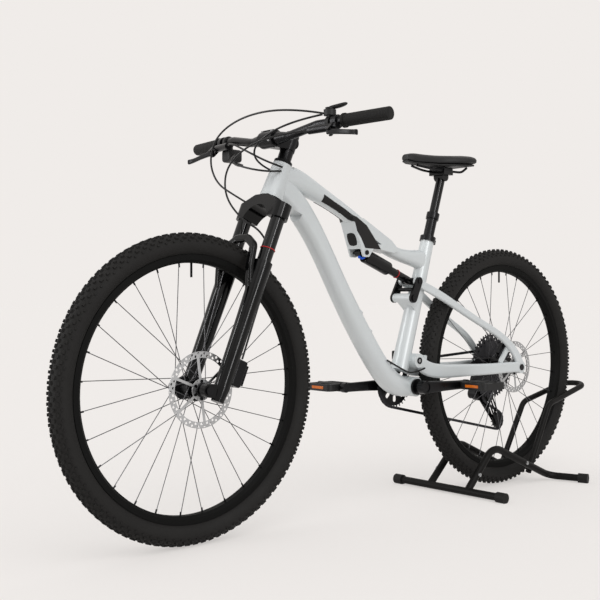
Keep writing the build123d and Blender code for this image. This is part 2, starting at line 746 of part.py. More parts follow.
# Each blade turns on a pin between two lugs; its axis leans as far as the blade's own plane.
LEVER_PIN_RADIUS = 2.5
LUG_THICK = 3.5
BLADE_HALF = 6.9
lever_pin = Vector(0.69, 0, 0.72).normalized()
lever_out = Vector(0.72, 0, -0.69).normalized()
brake_bodies = []
for side, name in ((1, "left_brake_blade"), (-1, "right_brake_blade")):
    clamp_plane = grip_plane(LEVER_CLAMP + 7, side)
    pivot = Vector(*lever_point(10, LEVER_AHEAD + 9, LEVER_BELOW + 4, side))
    with BuildPart() as brake_body:
        rod(clamp_plane, 14, 16.5)
        inner = lever_point(-62, LEVER_AHEAD - 2, LEVER_BELOW - 8, side)
        outer = lever_point(22, LEVER_AHEAD - 4, LEVER_BELOW - 8, side)
        barrel = Vector(*outer) - Vector(*inner)
        rod(Plane(inner, z_dir=barrel), barrel.length, 9.5)
        link = lever_point(0, 11, 8, side)
        with Locations(Location(link, (0, 40, 0))):
            Box(24, 13, 14)
        for step in (-1, 1):
            lug = pivot + lever_pin * step * (BLADE_HALF + SIDE_GAP + LUG_THICK / 2)
            lug_plane = Plane(lug - lever_out * 7.75, x_dir=lever_out, z_dir=lever_pin)
            with Locations(lug_plane.location):
                Box(24.5, 9, LUG_THICK)
        rod(Plane(pivot - lever_pin * 9, z_dir=lever_pin), 18, LEVER_PIN_RADIUS)
        rod(grip_plane(LEVER_CLAMP + 30, side), 60, BAR_RADIUS + 0.05, Mode.SUBTRACT)
    brake_bodies.append(brake_body.part)
    with BuildPart() as brake_blade:
        blade_stations = []
        for along, ahead, below, wide, tall in (
            (4, 8.5, 4, 9, 13),
            (22, 12, 6, 9, 13),
            (60, 20, 12, 8, 12),
            (92, 24, 17, 8, 12),
            (108, 31, 20, 9, 13),
        ):
            spot = lever_point(along, LEVER_AHEAD + ahead, LEVER_BELOW + below, side)
            with BuildSketch(Plane(spot, x_dir=(1, 0, 0), z_dir=(0, side, 0))) as blade_face:
                RectangleRounded(wide, tall, 3.5)
            blade_stations.append(blade_face.sketch)
        loft(sections=blade_stations)
        pin_hole = Plane(pivot - lever_pin * 12, z_dir=lever_pin)
        rod(pin_hole, 24, LEVER_PIN_RADIUS + RUN_FIT, Mode.SUBTRACT)
    write(brake_blade.part, name)
write(Compound(children=brake_bodies), "brake_lever_bodies")

# Shifter pod under the right side and lockout remote over the left side.
POD_IN = 178.0
with BuildPart() as shifter_pod:
    pod_spot = lever_point(LEVER_CLAMP - POD_IN, -12, 36, -1)
    with Locations(pod_spot):
        Box(44, 40, 34)
    fillet(edges(), 8)
    rod(grip_plane(POD_IN + 5, -1), 10, 16.0)
    with Locations(lever_point(LEVER_CLAMP - POD_IN, -5, 16, -1)):
        Box(14, 9, 16)
    rod(grip_plane(POD_IN + 30, -1), 60, BAR_RADIUS + 0.05, Mode.SUBTRACT)
REMOTE_IN = 172.0
with BuildPart() as remote_pod:
    rod(grip_plane(REMOTE_IN + 5, 1), 10, 15.0)
    remote_spot = lever_point(LEVER_CLAMP - REMOTE_IN, 0, -24, 1)
    with Locations(remote_spot):
        Cylinder(15, 14)
    with Locations(lever_point(LEVER_CLAMP - REMOTE_IN, 0, -14, 1)):
        Box(14, 9, 10)
    rod(grip_plane(REMOTE_IN + 30, 1), 60, BAR_RADIUS + 0.05, Mode.SUBTRACT)
write(Compound(children=[shifter_pod.part, remote_pod.part]), "control_pods")

paddle_spot = (pod_spot[0] - 16, pod_spot[1] + 2, pod_spot[2] - 17.5)
with BuildPart() as shift_paddle:
    with BuildSketch(Plane((paddle_spot[0], paddle_spot[1], paddle_spot[2]))):
        Circle(7)
        with Locations((-22, -14)):
            Circle(8)
        make_hull()
    extrude(amount=-5)
write(shift_paddle.part, "shift_paddle")

remote_top = (remote_spot[0], remote_spot[1], remote_spot[2] + 7 + SIDE_GAP)
with BuildPart() as remote_lever:
    with BuildSketch(Plane(remote_top)):
        Circle(11)
        with Locations((-18, 30)):
            Circle(6)
        make_hull()
    extrude(amount=5)
write(remote_lever.part, "remote_lever")

# Fork lowers: two legs, an arch ahead of them and the axle lugs.
LOWER_END = -16.0
AXLE_LUG_RADIUS = 16.0
ARCH_AHEAD = 40.0
ARCH_UP = TYRE_RADIUS + 24.0
CALIPER_BACK = -34.0
CALIPER_DEPTH = 30.0
front_half = FRONT_HUB_WIDTH / 2


def fork_point(up, ahead, y):
    """A point in the fork's own directions."""
    x, z = steer(up, ahead)
    return (x, y, z)


arch_half = [
    fork_point(LOWER_TOP - 76, LEG_AHEAD + 6, LEG_HALF_GAP - 3),
    fork_point(LOWER_TOP - 8, ARCH_AHEAD - 1, LEG_HALF_GAP - 5),
    fork_point(ARCH_UP - 20, ARCH_AHEAD + 2, LEG_HALF_GAP - 14),
    fork_point(ARCH_UP, ARCH_AHEAD + 2, 20),
]
with BuildPart() as fork_lowers:
    for side in (-1, 1):
        leg_faces = []
        for up, radius in ((LOWER_END, 15.0), (20, 19.5), (180, 20.5), (LOWER_TOP, LOWER_RADIUS)):
            with BuildSketch(steer_plane(up, LEG_AHEAD, side * LEG_HALF_GAP)) as leg_face:
                Circle(radius)
            leg_faces.append(leg_face.sketch)
        loft(sections=leg_faces, ruled=True)
        # The lug that holds the axle ahead of the leg.
        with BuildSketch(side_plane(max(side * front_half, side * (front_half + 18)))):
            with Locations(front_axle):
                Circle(AXLE_LUG_RADIUS)
            with Locations(steer(10, LEG_AHEAD)):
                Circle(17)
            make_hull()
        extrude(amount=18)
    # The arch is a bent bar with legs that run down into the leg tops.
    with BuildLine() as arch_path:
        FilletPolyline(
            *[other_side(point) for point in arch_half],
            *reversed(arch_half),
            radius=16,
        )
    with BuildSketch(Plane(arch_path.line @ 0, x_dir=(0, 1, 0), z_dir=arch_path.line % 0)):
        RectangleRounded(20, 16, 6)
    sweep(transition=Transition.ROUND)
    for side in (-1, 1):
        rod(
            steer_plane(LOWER_TOP, LEG_AHEAD, side * LEG_HALF_GAP),
            60,
            LOWER_RADIUS - 0.8,
            Mode.SUBTRACT,
        )
    # Posts for the caliper behind the left leg.
    for up in (44, 96):
        with Locations(steer_plane(up, CALIPER_BACK + CALIPER_DEPTH / 2 + 10, 53).location):
            Box(20, 12, 12)
    # The stanchions' bores come last, so that the posts end at the legs' walls.
    for side in (-1, 1):
        rod(
            steer_plane(40, LEG_AHEAD, side * LEG_HALF_GAP),
            400,
            STANCHION_RADIUS + SLIDE_FIT,
            Mode.SUBTRACT,
        )
    bar_across(front_axle, -90, 90, FRONT_AXLE_RADIUS + 0.05, Mode.SUBTRACT)
write(fork_lowers.part, "fork_lowers")

wipers = []
for side in (-1, 1):
    with BuildPart() as wiper:
        rod(steer_plane(LOWER_TOP + 0.05, LEG_AHEAD, side * LEG_HALF_GAP), 5, LOWER_RADIUS - 1.5)
        with Locations(steer_plane(LOWER_TOP + 5.05, LEG_AHEAD, side * LEG_HALF_GAP).location):
            Cone(
                LOWER_RADIUS - 1.5,
                LOWER_RADIUS - 4,
                4,
                align=(Align.CENTER, Align.CENTER, Align.MIN),
            )
        rod(
            steer_plane(LOWER_TOP - 5, LEG_AHEAD, side * LEG_HALF_GAP),
            30,
            STANCHION_RADIUS + SLIDE_FIT,
            Mode.SUBTRACT,
        )
    wipers.append(wiper.part)
write(Compound(children=wipers), "fork_wipers")

with BuildPart() as front_thru_axle:
    bar_across(front_axle, -front_half - 17, front_half + 17, FRONT_AXLE_RADIUS)
    bar_across(front_axle, front_half + 18.1, front_half + 22, 10.0)
    bar_across(front_axle, front_half + 16, front_half + 20, FRONT_AXLE_RADIUS - 0.5)
write(front_thru_axle.part, "front_axle")


def caliper(plane, length, depth, inside, outside, rotor_y):
    """A brake caliper block round a rotor; the plane's x is its depth and its y is Y."""
    with BuildPart() as made:
        with Locations(plane.location):
            with Locations((0, (inside + outside) / 2, 0)):
                Box(depth, outside - inside, length)
        fillet(edges(), 5)
        with Locations(plane.location):
            with Locations((0, rotor_y, 0)):
                Box(depth + 2, ROTOR_THICK + 2, length + 2, mode=Mode.SUBTRACT)
            with Locations((0, rotor_y + 3, 0)):
                Box(depth - 10, 10, length - 22, mode=Mode.SUBTRACT)
        # The bridge over the rotor's rim joins both halves.
        with Locations(plane.location):
            with Locations((-depth / 2 - 2, (inside + outside) / 2, 0)):
                Box(9, outside - inside - 8, length - 16)
    return made.part


front_caliper_plane = steer_plane(70, CALIPER_BACK)
write(caliper(front_caliper_plane, 66, CALIPER_DEPTH, 27, 60, FRONT_ROTOR_Y), "front_caliper")

# Wheels. Each hub profile is a list of (y, radius) steps.
rim_inner = RIM_EDGE_RADIUS - RIM_DEPTH


def tyre(axle):
    """A hollow tyre that stands on the rim's edges."""
    with BuildPart() as made:
        with BuildSketch(wheel_plane(axle)):
            with Locations((0, TYRE_RADIUS - TYRE_WIDTH / 2)):
                Circle(TYRE_WIDTH / 2)
                Circle(TYRE_WIDTH / 2 - TYRE_WALL, mode=Mode.SUBTRACT)
            with Locations((0, RIM_EDGE_RADIUS + 0.1 - 50)):
                Rectangle(TYRE_WIDTH + 10, 100, mode=Mode.SUBTRACT)
        revolve(axis=wheel_axis(axle))
    return made.part


def rim(axle):
    """A channel rim and its valve at the top."""
    half = RIM_WIDTH / 2
    with BuildPart() as made:
        with BuildSketch(wheel_plane(axle)):
            with BuildLine():
                Polyline(
                    (half, RIM_EDGE_RADIUS),
                    (half, RIM_EDGE_RADIUS - 13),
                    (0.55 * half, rim_inner),
                    (-0.55 * half, rim_inner),
                    (-half, RIM_EDGE_RADIUS - 13),
                    (-half, RIM_EDGE_RADIUS),
                    close=True,
                )
            make_face()
            with Locations((0, rim_inner + RIM_FLOOR + 50)):
                Rectangle(RIM_WIDTH - 2 * RIM_WALL, 100, mode=Mode.SUBTRACT)
        revolve(axis=wheel_axis(axle))
    with BuildPart() as valve:
        top = Plane((axle[0], 0, axle[1] + rim_inner - 0.05), z_dir=(0, 0, -1))
        rod(top, 34, 2.8)
    return Compound(children=[made.part, valve.part])


def hub(axle, steps):
    """A hub turned from its profile."""
    with BuildPart() as made:
        with BuildSketch(wheel_plane(axle)):
            with BuildLine():
                Polyline(*steps, close=True)
            make_face()
        revolve(axis=wheel_axis(axle))
    return made.part


def spokes(axle, left_y, right_y):
    """Crossed spokes from both flanges to the rim, four to a group."""
    made = []
    step = 2 * pi / (4 * SPOKE_GROUPS)
    cross = SPOKE_CROSSES * 4 * step / 2
    for group in range(SPOKE_GROUPS):
        for place, (flange, lean) in enumerate(
            ((left_y, 1), (right_y, 1), (left_y, -1), (right_y, -1))
        ):
            rim_angle = (4 * group + place + 0.5) * step + pi / 2
            hub_angle = rim_angle + lean * cross
            outward = 1 if flange > 0 else -1
            start = Vector(
                axle[0] + (FLANGE_RADIUS - 4) * cos(hub_angle),
                flange + lean * 2.3,
                axle[1] + (FLANGE_RADIUS - 4) * sin(hub_angle),
            )
            end = Vector(
                axle[0] + (rim_inner + 3) * cos(rim_angle),
                outward * 2.5,
                axle[1] + (rim_inner + 3) * sin(rim_angle),
            )
            run = end - start
            with BuildPart() as spoke:
                rod(Plane(start, z_dir=run), run.length, SPOKE_RADIUS)
            made.append(spoke.part)
    return Compound(children=made)


def rotor(axle, y, radius, hub_radius):
    """A brake rotor with six slanted arms."""
    with BuildPart() as made:
        with BuildSketch(side_plane(y + ROTOR_THICK / 2)):
            with Locations(axle):
                Circle(radius)
                Circle(radius - 15, mode=Mode.SUBTRACT)
                Circle(hub_radius + 9)
                with PolarLocations(0, 6):
                    with Locations(Location((hub_radius + 2, 9, 0), (0, 0, 22))):
                        Rectangle(
                            radius - hub_radius - 8, 6.5, align=(Align.MIN, Align.CENTER)
                        )
                Circle(hub_radius + 0.1, mode=Mode.SUBTRACT)
        extrude(amount=ROTOR_THICK)
    return made.part


FRONT_LEFT_FLANGE, FRONT_RIGHT_FLANGE = 22.0, -32.0
REAR_LEFT_FLANGE, REAR_RIGHT_FLANGE = 34.0, -20.0
front_bore = FRONT_AXLE_RADIUS + RUN_FIT
rear_bore = REAR_AXLE_RADIUS + RUN_FIT
front_rotor_face = FRONT_ROTOR_Y - ROTOR_THICK / 2 - 0.05
rear_rotor_face = REAR_ROTOR_Y - ROTOR_THICK / 2 - 0.05
front_steps = (
    (-front_half + SIDE_GAP, front_bore),
    (-front_half + SIDE_GAP, 10),
    (FRONT_RIGHT_FLANGE - 12, 10),
    (FRONT_RIGHT_FLANGE - 12, 15),
    (FRONT_RIGHT_FLANGE - 1.5, 17),
    (FRONT_RIGHT_FLANGE - 1.5, FLANGE_RADIUS),
    (FRONT_RIGHT_FLANGE + 1.5, FLANGE_RADIUS),
    (FRONT_RIGHT_FLANGE + 3, 15),
    (FRONT_LEFT_FLANGE - 3, 15),
    (FRONT_LEFT_FLANGE - 1.5, FLANGE_RADIUS),
    (FRONT_LEFT_FLANGE + 1.5, FLANGE_RADIUS),
    (FRONT_LEFT_FLANGE + 3, 17),
    (front_rotor_face - 4, 17),
    (front_rotor_face - 4, 24),
    (front_rotor_face, 24),
    (front_rotor_face, 17),
    (front_rotor_face + 6, 17),
    (front_rotor_face + 8, 10),
    (front_half - SIDE_GAP, 10),
    (front_half - SIDE_GAP, front_bore),
)
rear_half = REAR_HUB_WIDTH / 2
FREEHUB_BORE = 9.0
rear_steps = (
    (-rear_half + SIDE_GAP, rear_bore),
    (-rear_half + SIDE_GAP, FREEHUB_BORE - 0.1),
    (REAR_RIGHT_FLANGE - 4.5, FREEHUB_BORE - 0.1),
    (REAR_RIGHT_FLANGE - 4.5, 19),
    (REAR_RIGHT_FLANGE - 1.5, 20),
    (REAR_RIGHT_FLANGE - 1.5, FLANGE_RADIUS),
    (REAR_RIGHT_FLANGE + 1.5, FLANGE_RADIUS),
    (REAR_RIGHT_FLANGE + 3, 16),
    (REAR_LEFT_FLANGE - 3, 16),
    (REAR_LEFT_FLANGE - 1.5, FLANGE_RADIUS),
    (REAR_LEFT_FLANGE + 1.5, FLANGE_RADIUS),
    (REAR_LEFT_FLANGE + 3, 17),
    (rear_rotor_face - 4, 17),
    (rear_rotor_face - 4, 24),
    (rear_rotor_face, 24),
    (rear_rotor_face, 17),
    (rear_rotor_face + 6, 17),
    (rear_rotor_face + 8, 10),
    (rear_half - SIDE_GAP, 10),
    (rear_half - SIDE_GAP, rear_bore),
)
write(tyre(front_axle), "front_tyre")
write(tyre(rear_axle), "rear_tyre")
write(rim(front_axle), "front_rim")
write(rim(rear_axle), "rear_rim")
write(hub(front_axle, front_steps), "front_hub")
write(hub(rear_axle, rear_steps), "rear_hub")
write(spokes(front_axle, FRONT_LEFT_FLANGE, FRONT_RIGHT_FLANGE), "front_spokes")
write(spokes(rear_axle, REAR_LEFT_FLANGE, REAR_RIGHT_FLANGE), "rear_spokes")
write(rotor(front_axle, FRONT_ROTOR_Y, FRONT_ROTOR_RADIUS, 17), "front_rotor")
write(rotor(rear_axle, REAR_ROTOR_Y, REAR_ROTOR_RADIUS, 17), "rear_rotor")

# Rear triangle: stays, axle ends, pivot ears and the yoke that drives the shock.
YOKE_INSIDE = 24.6
YOKE_BOLT_RADIUS = 4.0
REAR_CALIPER_OUTSIDE = 66.0


def stay_point(share, up, y, width, depth):
    """A chainstay station: its share of the way from the axle to the pivot."""
    point = part_way(rear_axle, main_pivot, share, 0)
    return (point[0], y, point[1] + up, width, depth)


def seat_stay_point(share_x, share_z, y, width, depth):
    """A seatstay station: its shares of the way from the axle to the yoke bolt."""
    point = part_way(rear_axle, yoke, share_x, share_z)
    return (point[0], y, point[1], width, depth)


yoke_y = (YOKE_INSIDE + ROCKER_INSIDE - SIDE_GAP) / 2
yoke_thick = ROCKER_INSIDE - SIDE_GAP - YOKE_INSIDE
with BuildPart() as rear_triangle:
    loft(
        sections=tube_sections(
            [
                stay_point(0.0, 0, rear_half + 6.3, 11, 32),
                stay_point(0.26, 0, 70, 14, 33),
                stay_point(0.54, 0, 54, 16, 36),
                stay_point(0.75, 1, 43, 15, 40),
                stay_point(0.875, 8, 38, 12, 42),
                stay_point(0.97, 27, 37.5, 12, 40),
            ],
            0.4,
        )
    )
    loft(
        sections=tube_sections(
            [
                seat_stay_point(0.0, 0.03, rear_half + 6.3, 11, 30),
                seat_stay_point(0.083, 0.225, 76, 12, 26),
                seat_stay_point(0.226, 0.397, 68, 13, 22),
                seat_stay_point(0.452, 0.573, 57, 14, 21),
                seat_stay_point(0.667, 0.752, 45, 14, 23),
                seat_stay_point(0.86, 0.905, 31.5, 11, 25),
                seat_stay_point(1.0, 1.0, yoke_y, yoke_thick, 22),
            ],
            0.4,
        )
    )
    bar_across(rear_axle, rear_half, rear_half + 12, 19.0)
    bar_across(main_pivot, EAR_INSIDE, EAR_OUTSIDE, 20.0)
    bar_across(yoke, YOKE_INSIDE, ROCKER_INSIDE - SIDE_GAP, 11.5)
    mirror(about=Plane.XZ)
    # The bridge behind the pivot joins both chainstays.
    with BuildSketch(side_plane(EAR_INSIDE + 3)):
        with Locations(Location((main_pivot[0] - 35, main_pivot[1] - 6, 0), (0, 0, 8))):
            RectangleRounded(13, 40, 5)
    extrude(amount=2 * EAR_INSIDE + 6)
    # The plate between the left stays that carries the caliper.
    with BuildSketch(side_plane(REAR_CALIPER_OUTSIDE + 6)):
        with Locations(moved(rear_axle, 44, 66)):
            Circle(8)
        with Locations(moved(rear_axle, 82, 22)):
            Circle(8)
        make_hull()
    extrude(amount=6)
    # The hanger that carries the derailleur.
    with BuildSketch(side_plane(-rear_half - 0.5)):
        with Locations(rear_axle):
            Circle(13)
        with Locations(moved(rear_axle, 8, -29)):
            Circle(9)
        make_hull()
    extrude(amount=8)
    bar_across(rear_axle, -100, 100, REAR_AXLE_RADIUS + 0.05, Mode.SUBTRACT)
    bar_across(rear_axle, rear_half + 12, rear_half + 20, 12.0, Mode.SUBTRACT)
    bar_across(main_pivot, -60, 60, PIVOT_AXLE_RADIUS + RUN_FIT, Mode.SUBTRACT)
    bar_across(yoke, -60, 60, YOKE_BOLT_RADIUS + RUN_FIT, Mode.SUBTRACT)
write(rear_triangle.part, "rear_triangle")

with BuildPart() as rear_thru_axle:
    bar_across(rear_axle, -rear_half - 11.5, rear_half + 11.5, REAR_AXLE_RADIUS)
    bar_across(rear_axle, rear_half + 12.1, rear_half + 14.5, 9.5)
    bar_across(rear_axle, rear_half + 11, rear_half + 13, REAR_AXLE_RADIUS - 0.5)
with BuildPart() as yoke_bolt:
    bar_across(yoke, -ROCKER_INSIDE + 0.6, ROCKER_INSIDE - 0.6, YOKE_BOLT_RADIUS)
write(Compound(children=[rear_thru_axle.part, yoke_bolt.part]), "swingarm_bolts")

CALIPER_ANGLE = radians(40.0)
caliper_out = REAR_ROTOR_RADIUS - 3.0
rear_caliper_spot = moved(
    rear_axle, caliper_out * cos(CALIPER_ANGLE), caliper_out * sin(CALIPER_ANGLE)
)
rear_caliper_plane = Plane(
    (rear_caliper_spot[0], 0, rear_caliper_spot[1]),
    x_dir=(-cos(CALIPER_ANGLE), 0, -sin(CALIPER_ANGLE)),
    z_dir=(sin(CALIPER_ANGLE), 0, -cos(CALIPER_ANGLE)),
)
rear_caliper = caliper(rear_caliper_plane, 52, 24, 46, REAR_CALIPER_OUTSIDE, REAR_ROTOR_Y)
write(rear_caliper, "rear_caliper")

# Linkage: rocker link and shock.
with BuildPart() as rocker_link:
    with BuildSketch(side_plane(ROCKER_OUTSIDE)):
        with Locations(rocker_pivot):
            Circle(14)
        with Locations(yoke):
            Circle(12)
        make_hull()
    extrude(amount=ROCKER_THICK)
    bar_across(yoke, ROCKER_OUTSIDE, ROCKER_OUTSIDE + 2, 7)
    mirror(about=Plane.XZ)
    bar_across(part_way(rocker_pivot, yoke, 0.5, 0.5), -ROCKER_INSIDE - 1, ROCKER_INSIDE + 1, 5.5)
    bar_across(rocker_pivot, -70, 70, ROCKER_AXLE_RADIUS + RUN_FIT, Mode.SUBTRACT)
write(rocker_link.part, "rocker_link")


def shock_plane(along):
    """A plane square to the shock, that far from its front bolt."""
    return Plane(
        (shock_front[0] + along * shock_dir.X, 0, shock_front[1] + along * shock_dir.Z),
        x_dir=(0, 1, 0),
        z_dir=shock_dir,
    )


CAN_RADIUS = 19.5
DAMPER_RADIUS = 11.5
CAN_END = 118.0
DAMPER_START = 104.0
swing_play = 4.2
with BuildPart() as shock_body:
    rod(shock_plane(20), CAN_END - 20, CAN_RADIUS)
    fillet(edges().filter_by(GeomType.CIRCLE), 3)
    rod(shock_plane(7), 16, 12.0)
    bar_across(shock_front, -11, 11, 10.5)
    rod(shock_plane(44), 100, DAMPER_RADIUS + swing_play, Mode.SUBTRACT)
    bar_across(shock_front, -60, 60, SHOCK_BOLT_RADIUS + RUN_FIT, Mode.SUBTRACT)
write(shock_body.part, "shock_body")
with BuildPart() as shock_shaft:
    rod(shock_plane(DAMPER_START), shock_length - DAMPER_START - 8, DAMPER_RADIUS)
    bar_across(yoke, -12, 12, 10.5)
    bar_across(yoke, -YOKE_INSIDE + 1.2, YOKE_INSIDE - 1.2, 6.5)
    bar_across(yoke, -60, 60, YOKE_BOLT_RADIUS + RUN_FIT, Mode.SUBTRACT)
write(shock_shaft.part, "shock_shaft")

# Cranks with spindle, chainring and pedal axles. The left arm points back, the right forward.
ARM_INSIDE = 66.0
ring_radius = PITCH / (2 * sin(pi / RING_TEETH))
PEDAL_AXLE_RADIUS = 7.0
PEDAL_INSIDE = 90.0
PEDAL_WIDE = 94.0
left_pedal = moved(bb, -CRANK_LENGTH, 0)
right_pedal = moved(bb, CRANK_LENGTH, 0)
crank_solids = []
for side, end in ((1, left_pedal), (-1, right_pedal)):
    with BuildPart() as arm:
        arm_faces = []
        for share, y, wide, tall in ((0.0, 67, 18, 36), (0.35, 72, 13, 30), (1.0, 77, 13, 26)):
            spot = part_way(bb, end, share, share)
            arm_plane = Plane((spot[0], side * y, spot[1]), x_dir=(0, 1, 0), z_dir=(-side, 0, 0))
            with BuildSketch(arm_plane) as arm_face:
                RectangleRounded(wide, tall, 4.5)
            arm_faces.append(arm_face.sketch)
        loft(sections=arm_faces)
        bar_across(bb, side * 56, side * 76, 19.0)
        bar_across(end, side * 70.5, side * 83.5, 14.0)
        bar_across(bb, -90, 90, SPINDLE_RADIUS + 0.05, Mode.SUBTRACT)
        bar_across(end, -90, 90, PEDAL_AXLE_RADIUS + 0.05, Mode.SUBTRACT)
    crank_solids.append(arm.part)
    with BuildPart() as pedal_axle:
        bar_across(end, side * 71, side * (PEDAL_INSIDE + PEDAL_WIDE - 6), PEDAL_AXLE_RADIUS)
        bar_across(end, side * 84, side * (PEDAL_INSIDE - 0.5), 9.0)
    crank_solids.append(pedal_axle.part)
with BuildPart() as spindle:
    bar_across(bb, -74, 74, SPINDLE_RADIUS)
crank_solids.append(spindle.part)


def pedal(end, side):
    """A platform pedal: two side cages and a middle barrel on its axle."""
    middle = side * (PEDAL_INSIDE + PEDAL_WIDE / 2)
    with BuildPart() as made:
        with Locations((end[0], middle, end[1])):
            Box(98, PEDAL_WIDE, 20)
        fillet(edges().filter_by(Axis.Z), 14)
        with Locations((end[0] - 29, middle, end[1]), (end[0] + 29, middle, end[1])):
            Box(25, PEDAL_WIDE - 22, 40, mode=Mode.SUBTRACT)
        bar_across(end, side * PEDAL_INSIDE, side * (PEDAL_INSIDE + PEDAL_WIDE - 1), 12.5)
        bar_across(
            end,
            side * (PEDAL_INSIDE - 1),
            side * (PEDAL_INSIDE + PEDAL_WIDE - 5),
            PEDAL_AXLE_RADIUS + RUN_FIT,
            Mode.SUBTRACT,
        )
    return made.part


write(pedal(left_pedal, 1), "pedal_left")
write(pedal(right_pedal, -1), "pedal_right")

# Chain path: clockwise round the chainring, the tension pulley and the cog as seen from the
# right, and the other way round the guide pulley.
cog_radius = PITCH / (2 * sin(pi / CHAIN_COG))
pulley_radius = PITCH / (2 * sin(pi / PULLEY_TEETH))
guide_pulley = moved(rear_axle, -4, -cog_radius - pulley_radius - 16)


def chain_runs(cage_angle):
    """The sprockets in chain order with where the chain meets and leaves each one."""
    tension = (
        guide_pulley[0] + CAGE_LENGTH * cos(cage_angle),
        guide_pulley[1] + CAGE_LENGTH * sin(cage_angle),
    )
    wheels = (
        (rear_axle, cog_radius, 1),
        (bb, ring_radius, 1),
        (tension, pulley_radius, 1),
        (guide_pulley, pulley_radius, -1),
    )
    runs = []
    for first, second in zip(wheels, wheels[1:] + wheels[:1]):
        dx, dz = second[0][0] - first[0][0], second[0][1] - first[0][1]
        offset = second[2] * second[1] - first[2] * first[1]
        heading = atan2(dz, dx) + asin(offset / hypot(dx, dz))
        length = sqrt(dx * dx + dz * dz - offset * offset)
        runs.append((heading, length))
    return wheels, runs


def chain_length(cage_angle):
    """The length of the chain path for a cage angle."""
    wheels, runs = chain_runs(cage_angle)
    total = 0.0
    for index, (centre, radius, spin) in enumerate(wheels):
        wrap = (spin * (runs[index - 1][0] - runs[index][0])) % (2 * pi)
        total += radius * wrap + runs[index][1]
    return total


# The spring cage swings until the chain is taut with a whole, even number of links.
low_angle, high_angle = radians(-150), radians(-75)
wanted = chain_length(radians(-118))
link_count = 2 * round(wanted / PITCH / 2)
for _ in range(50):
    middle_angle = (low_angle + high_angle) / 2
    if chain_length(middle_angle) > link_count * PITCH:
        low_angle = middle_angle
    else:
        high_angle = middle_angle
cage_angle = (low_angle + high_angle) / 2
wheels, runs = chain_runs(cage_angle)
tension_pulley = wheels[2][0]


def pin_places():
    """Every chain pin with its place, and which sprocket it lies on if any."""
    pins = []
    travelled = 0.0
    next_pin = 0.0
    for index, (centre, radius, spin) in enumerate(wheels):
        before, heading = runs[index - 1][0], runs[index][0]
        wrap = (spin * (before - heading)) % (2 * pi)
        start_angle = before + spin * pi / 2
        while next_pin < travelled + radius * wrap - 1e-6:
            angle = start_angle - spin * (next_pin - travelled) / radius
            place = (centre[0] + radius * cos(angle), centre[1] + radius * sin(angle))
            pins.append((place, index, angle))
            next_pin += PITCH
        travelled += radius * wrap
        leave = (
            centre[0] + radius * cos(heading + spin * pi / 2),
            centre[1] + radius * sin(heading + spin * pi / 2),
        )
        while next_pin < travelled + runs[index][1] - 1e-6:
            out = next_pin - travelled
            place = (leave[0] + out * cos(heading), leave[1] + out * sin(heading))
            pins.append((place, None, heading))
            next_pin += PITCH
        travelled += runs[index][1]
    return pins


pins = pin_places()[:link_count]


def gap_angle(index):
    """The angle of the roller in the middle of a sprocket's wrap."""
    angles = [angle for place, sprocket, angle in pins if sprocket == index]
    return angles[len(angles) // 2]


INNER_PLATE = (1.2, 1.85)
OUTER_PLATE = (1.95, 2.6)


def link_plates(reach, mode=Mode.ADD):
    """The two plates of a link, lying along x from its first pin."""
    for y0, y1 in ((reach[0], reach[1]), (-reach[1], -reach[0])):
        with BuildSketch(Plane.XZ.offset(-y1)) as plate:
            with Locations((PITCH / 2, 0)):
                SlotCenterToCenter(PITCH, 7.8)
        extrude(to_extrude=plate.sketch, amount=y1 - y0, mode=mode)


with BuildPart() as outer_link:
    link_plates(OUTER_PLATE)
    bar_across((0, 0), -2.7, 2.7, 1.7)
    bar_across((PITCH, 0), -2.7, 2.7, 1.7)
with BuildPart() as inner_link:
    link_plates(INNER_PLATE)
    bar_across((0, 0), -INNER_PLATE[1], INNER_PLATE[1], ROLLER_RADIUS)
    bar_across((PITCH, 0), -INNER_PLATE[1], INNER_PLATE[1], ROLLER_RADIUS)
    bar_across((0, 0), -9, 9, 1.9, Mode.SUBTRACT)
    bar_across((PITCH, 0), -9, 9, 1.9, Mode.SUBTRACT)
links = []
for index, (place, sprocket, angle) in enumerate(pins):
    following = pins[(index + 1) % len(pins)][0]
    lean = degrees(atan2(following[1] - place[1], following[0] - place[0]))
    where = Location((place[0], -CHAINLINE, place[1]), (0, -lean, 0))
    pattern = outer_link.part if index % 2 else inner_link.part
    links.append(pattern.moved(where))
write(Compound(children=links), "chain")

with BuildPart() as chainring:
    with BuildSketch(side_plane(-CHAINLINE + 1.0)):
        with BuildLine():
            Polyline(*[moved(bb, *p) for p in toothed(RING_TEETH, gap_angle(1))], close=True)
        make_face()
        with Locations(bb):
            Circle(SPINDLE_RADIUS + 0.05, mode=Mode.SUBTRACT)
            with PolarLocations(40, 8):
                SlotOverall(20, 13, mode=Mode.SUBTRACT)
    extrude(amount=2.0)
    bar_across(bb, -CHAINLINE - 7.9, -CHAINLINE, 24.0)
    bar_across(bb, -90, 0, SPINDLE_RADIUS + 0.05, Mode.SUBTRACT)
crank_solids.append(chainring.part)
write(Compound(children=crank_solids), "crankset")

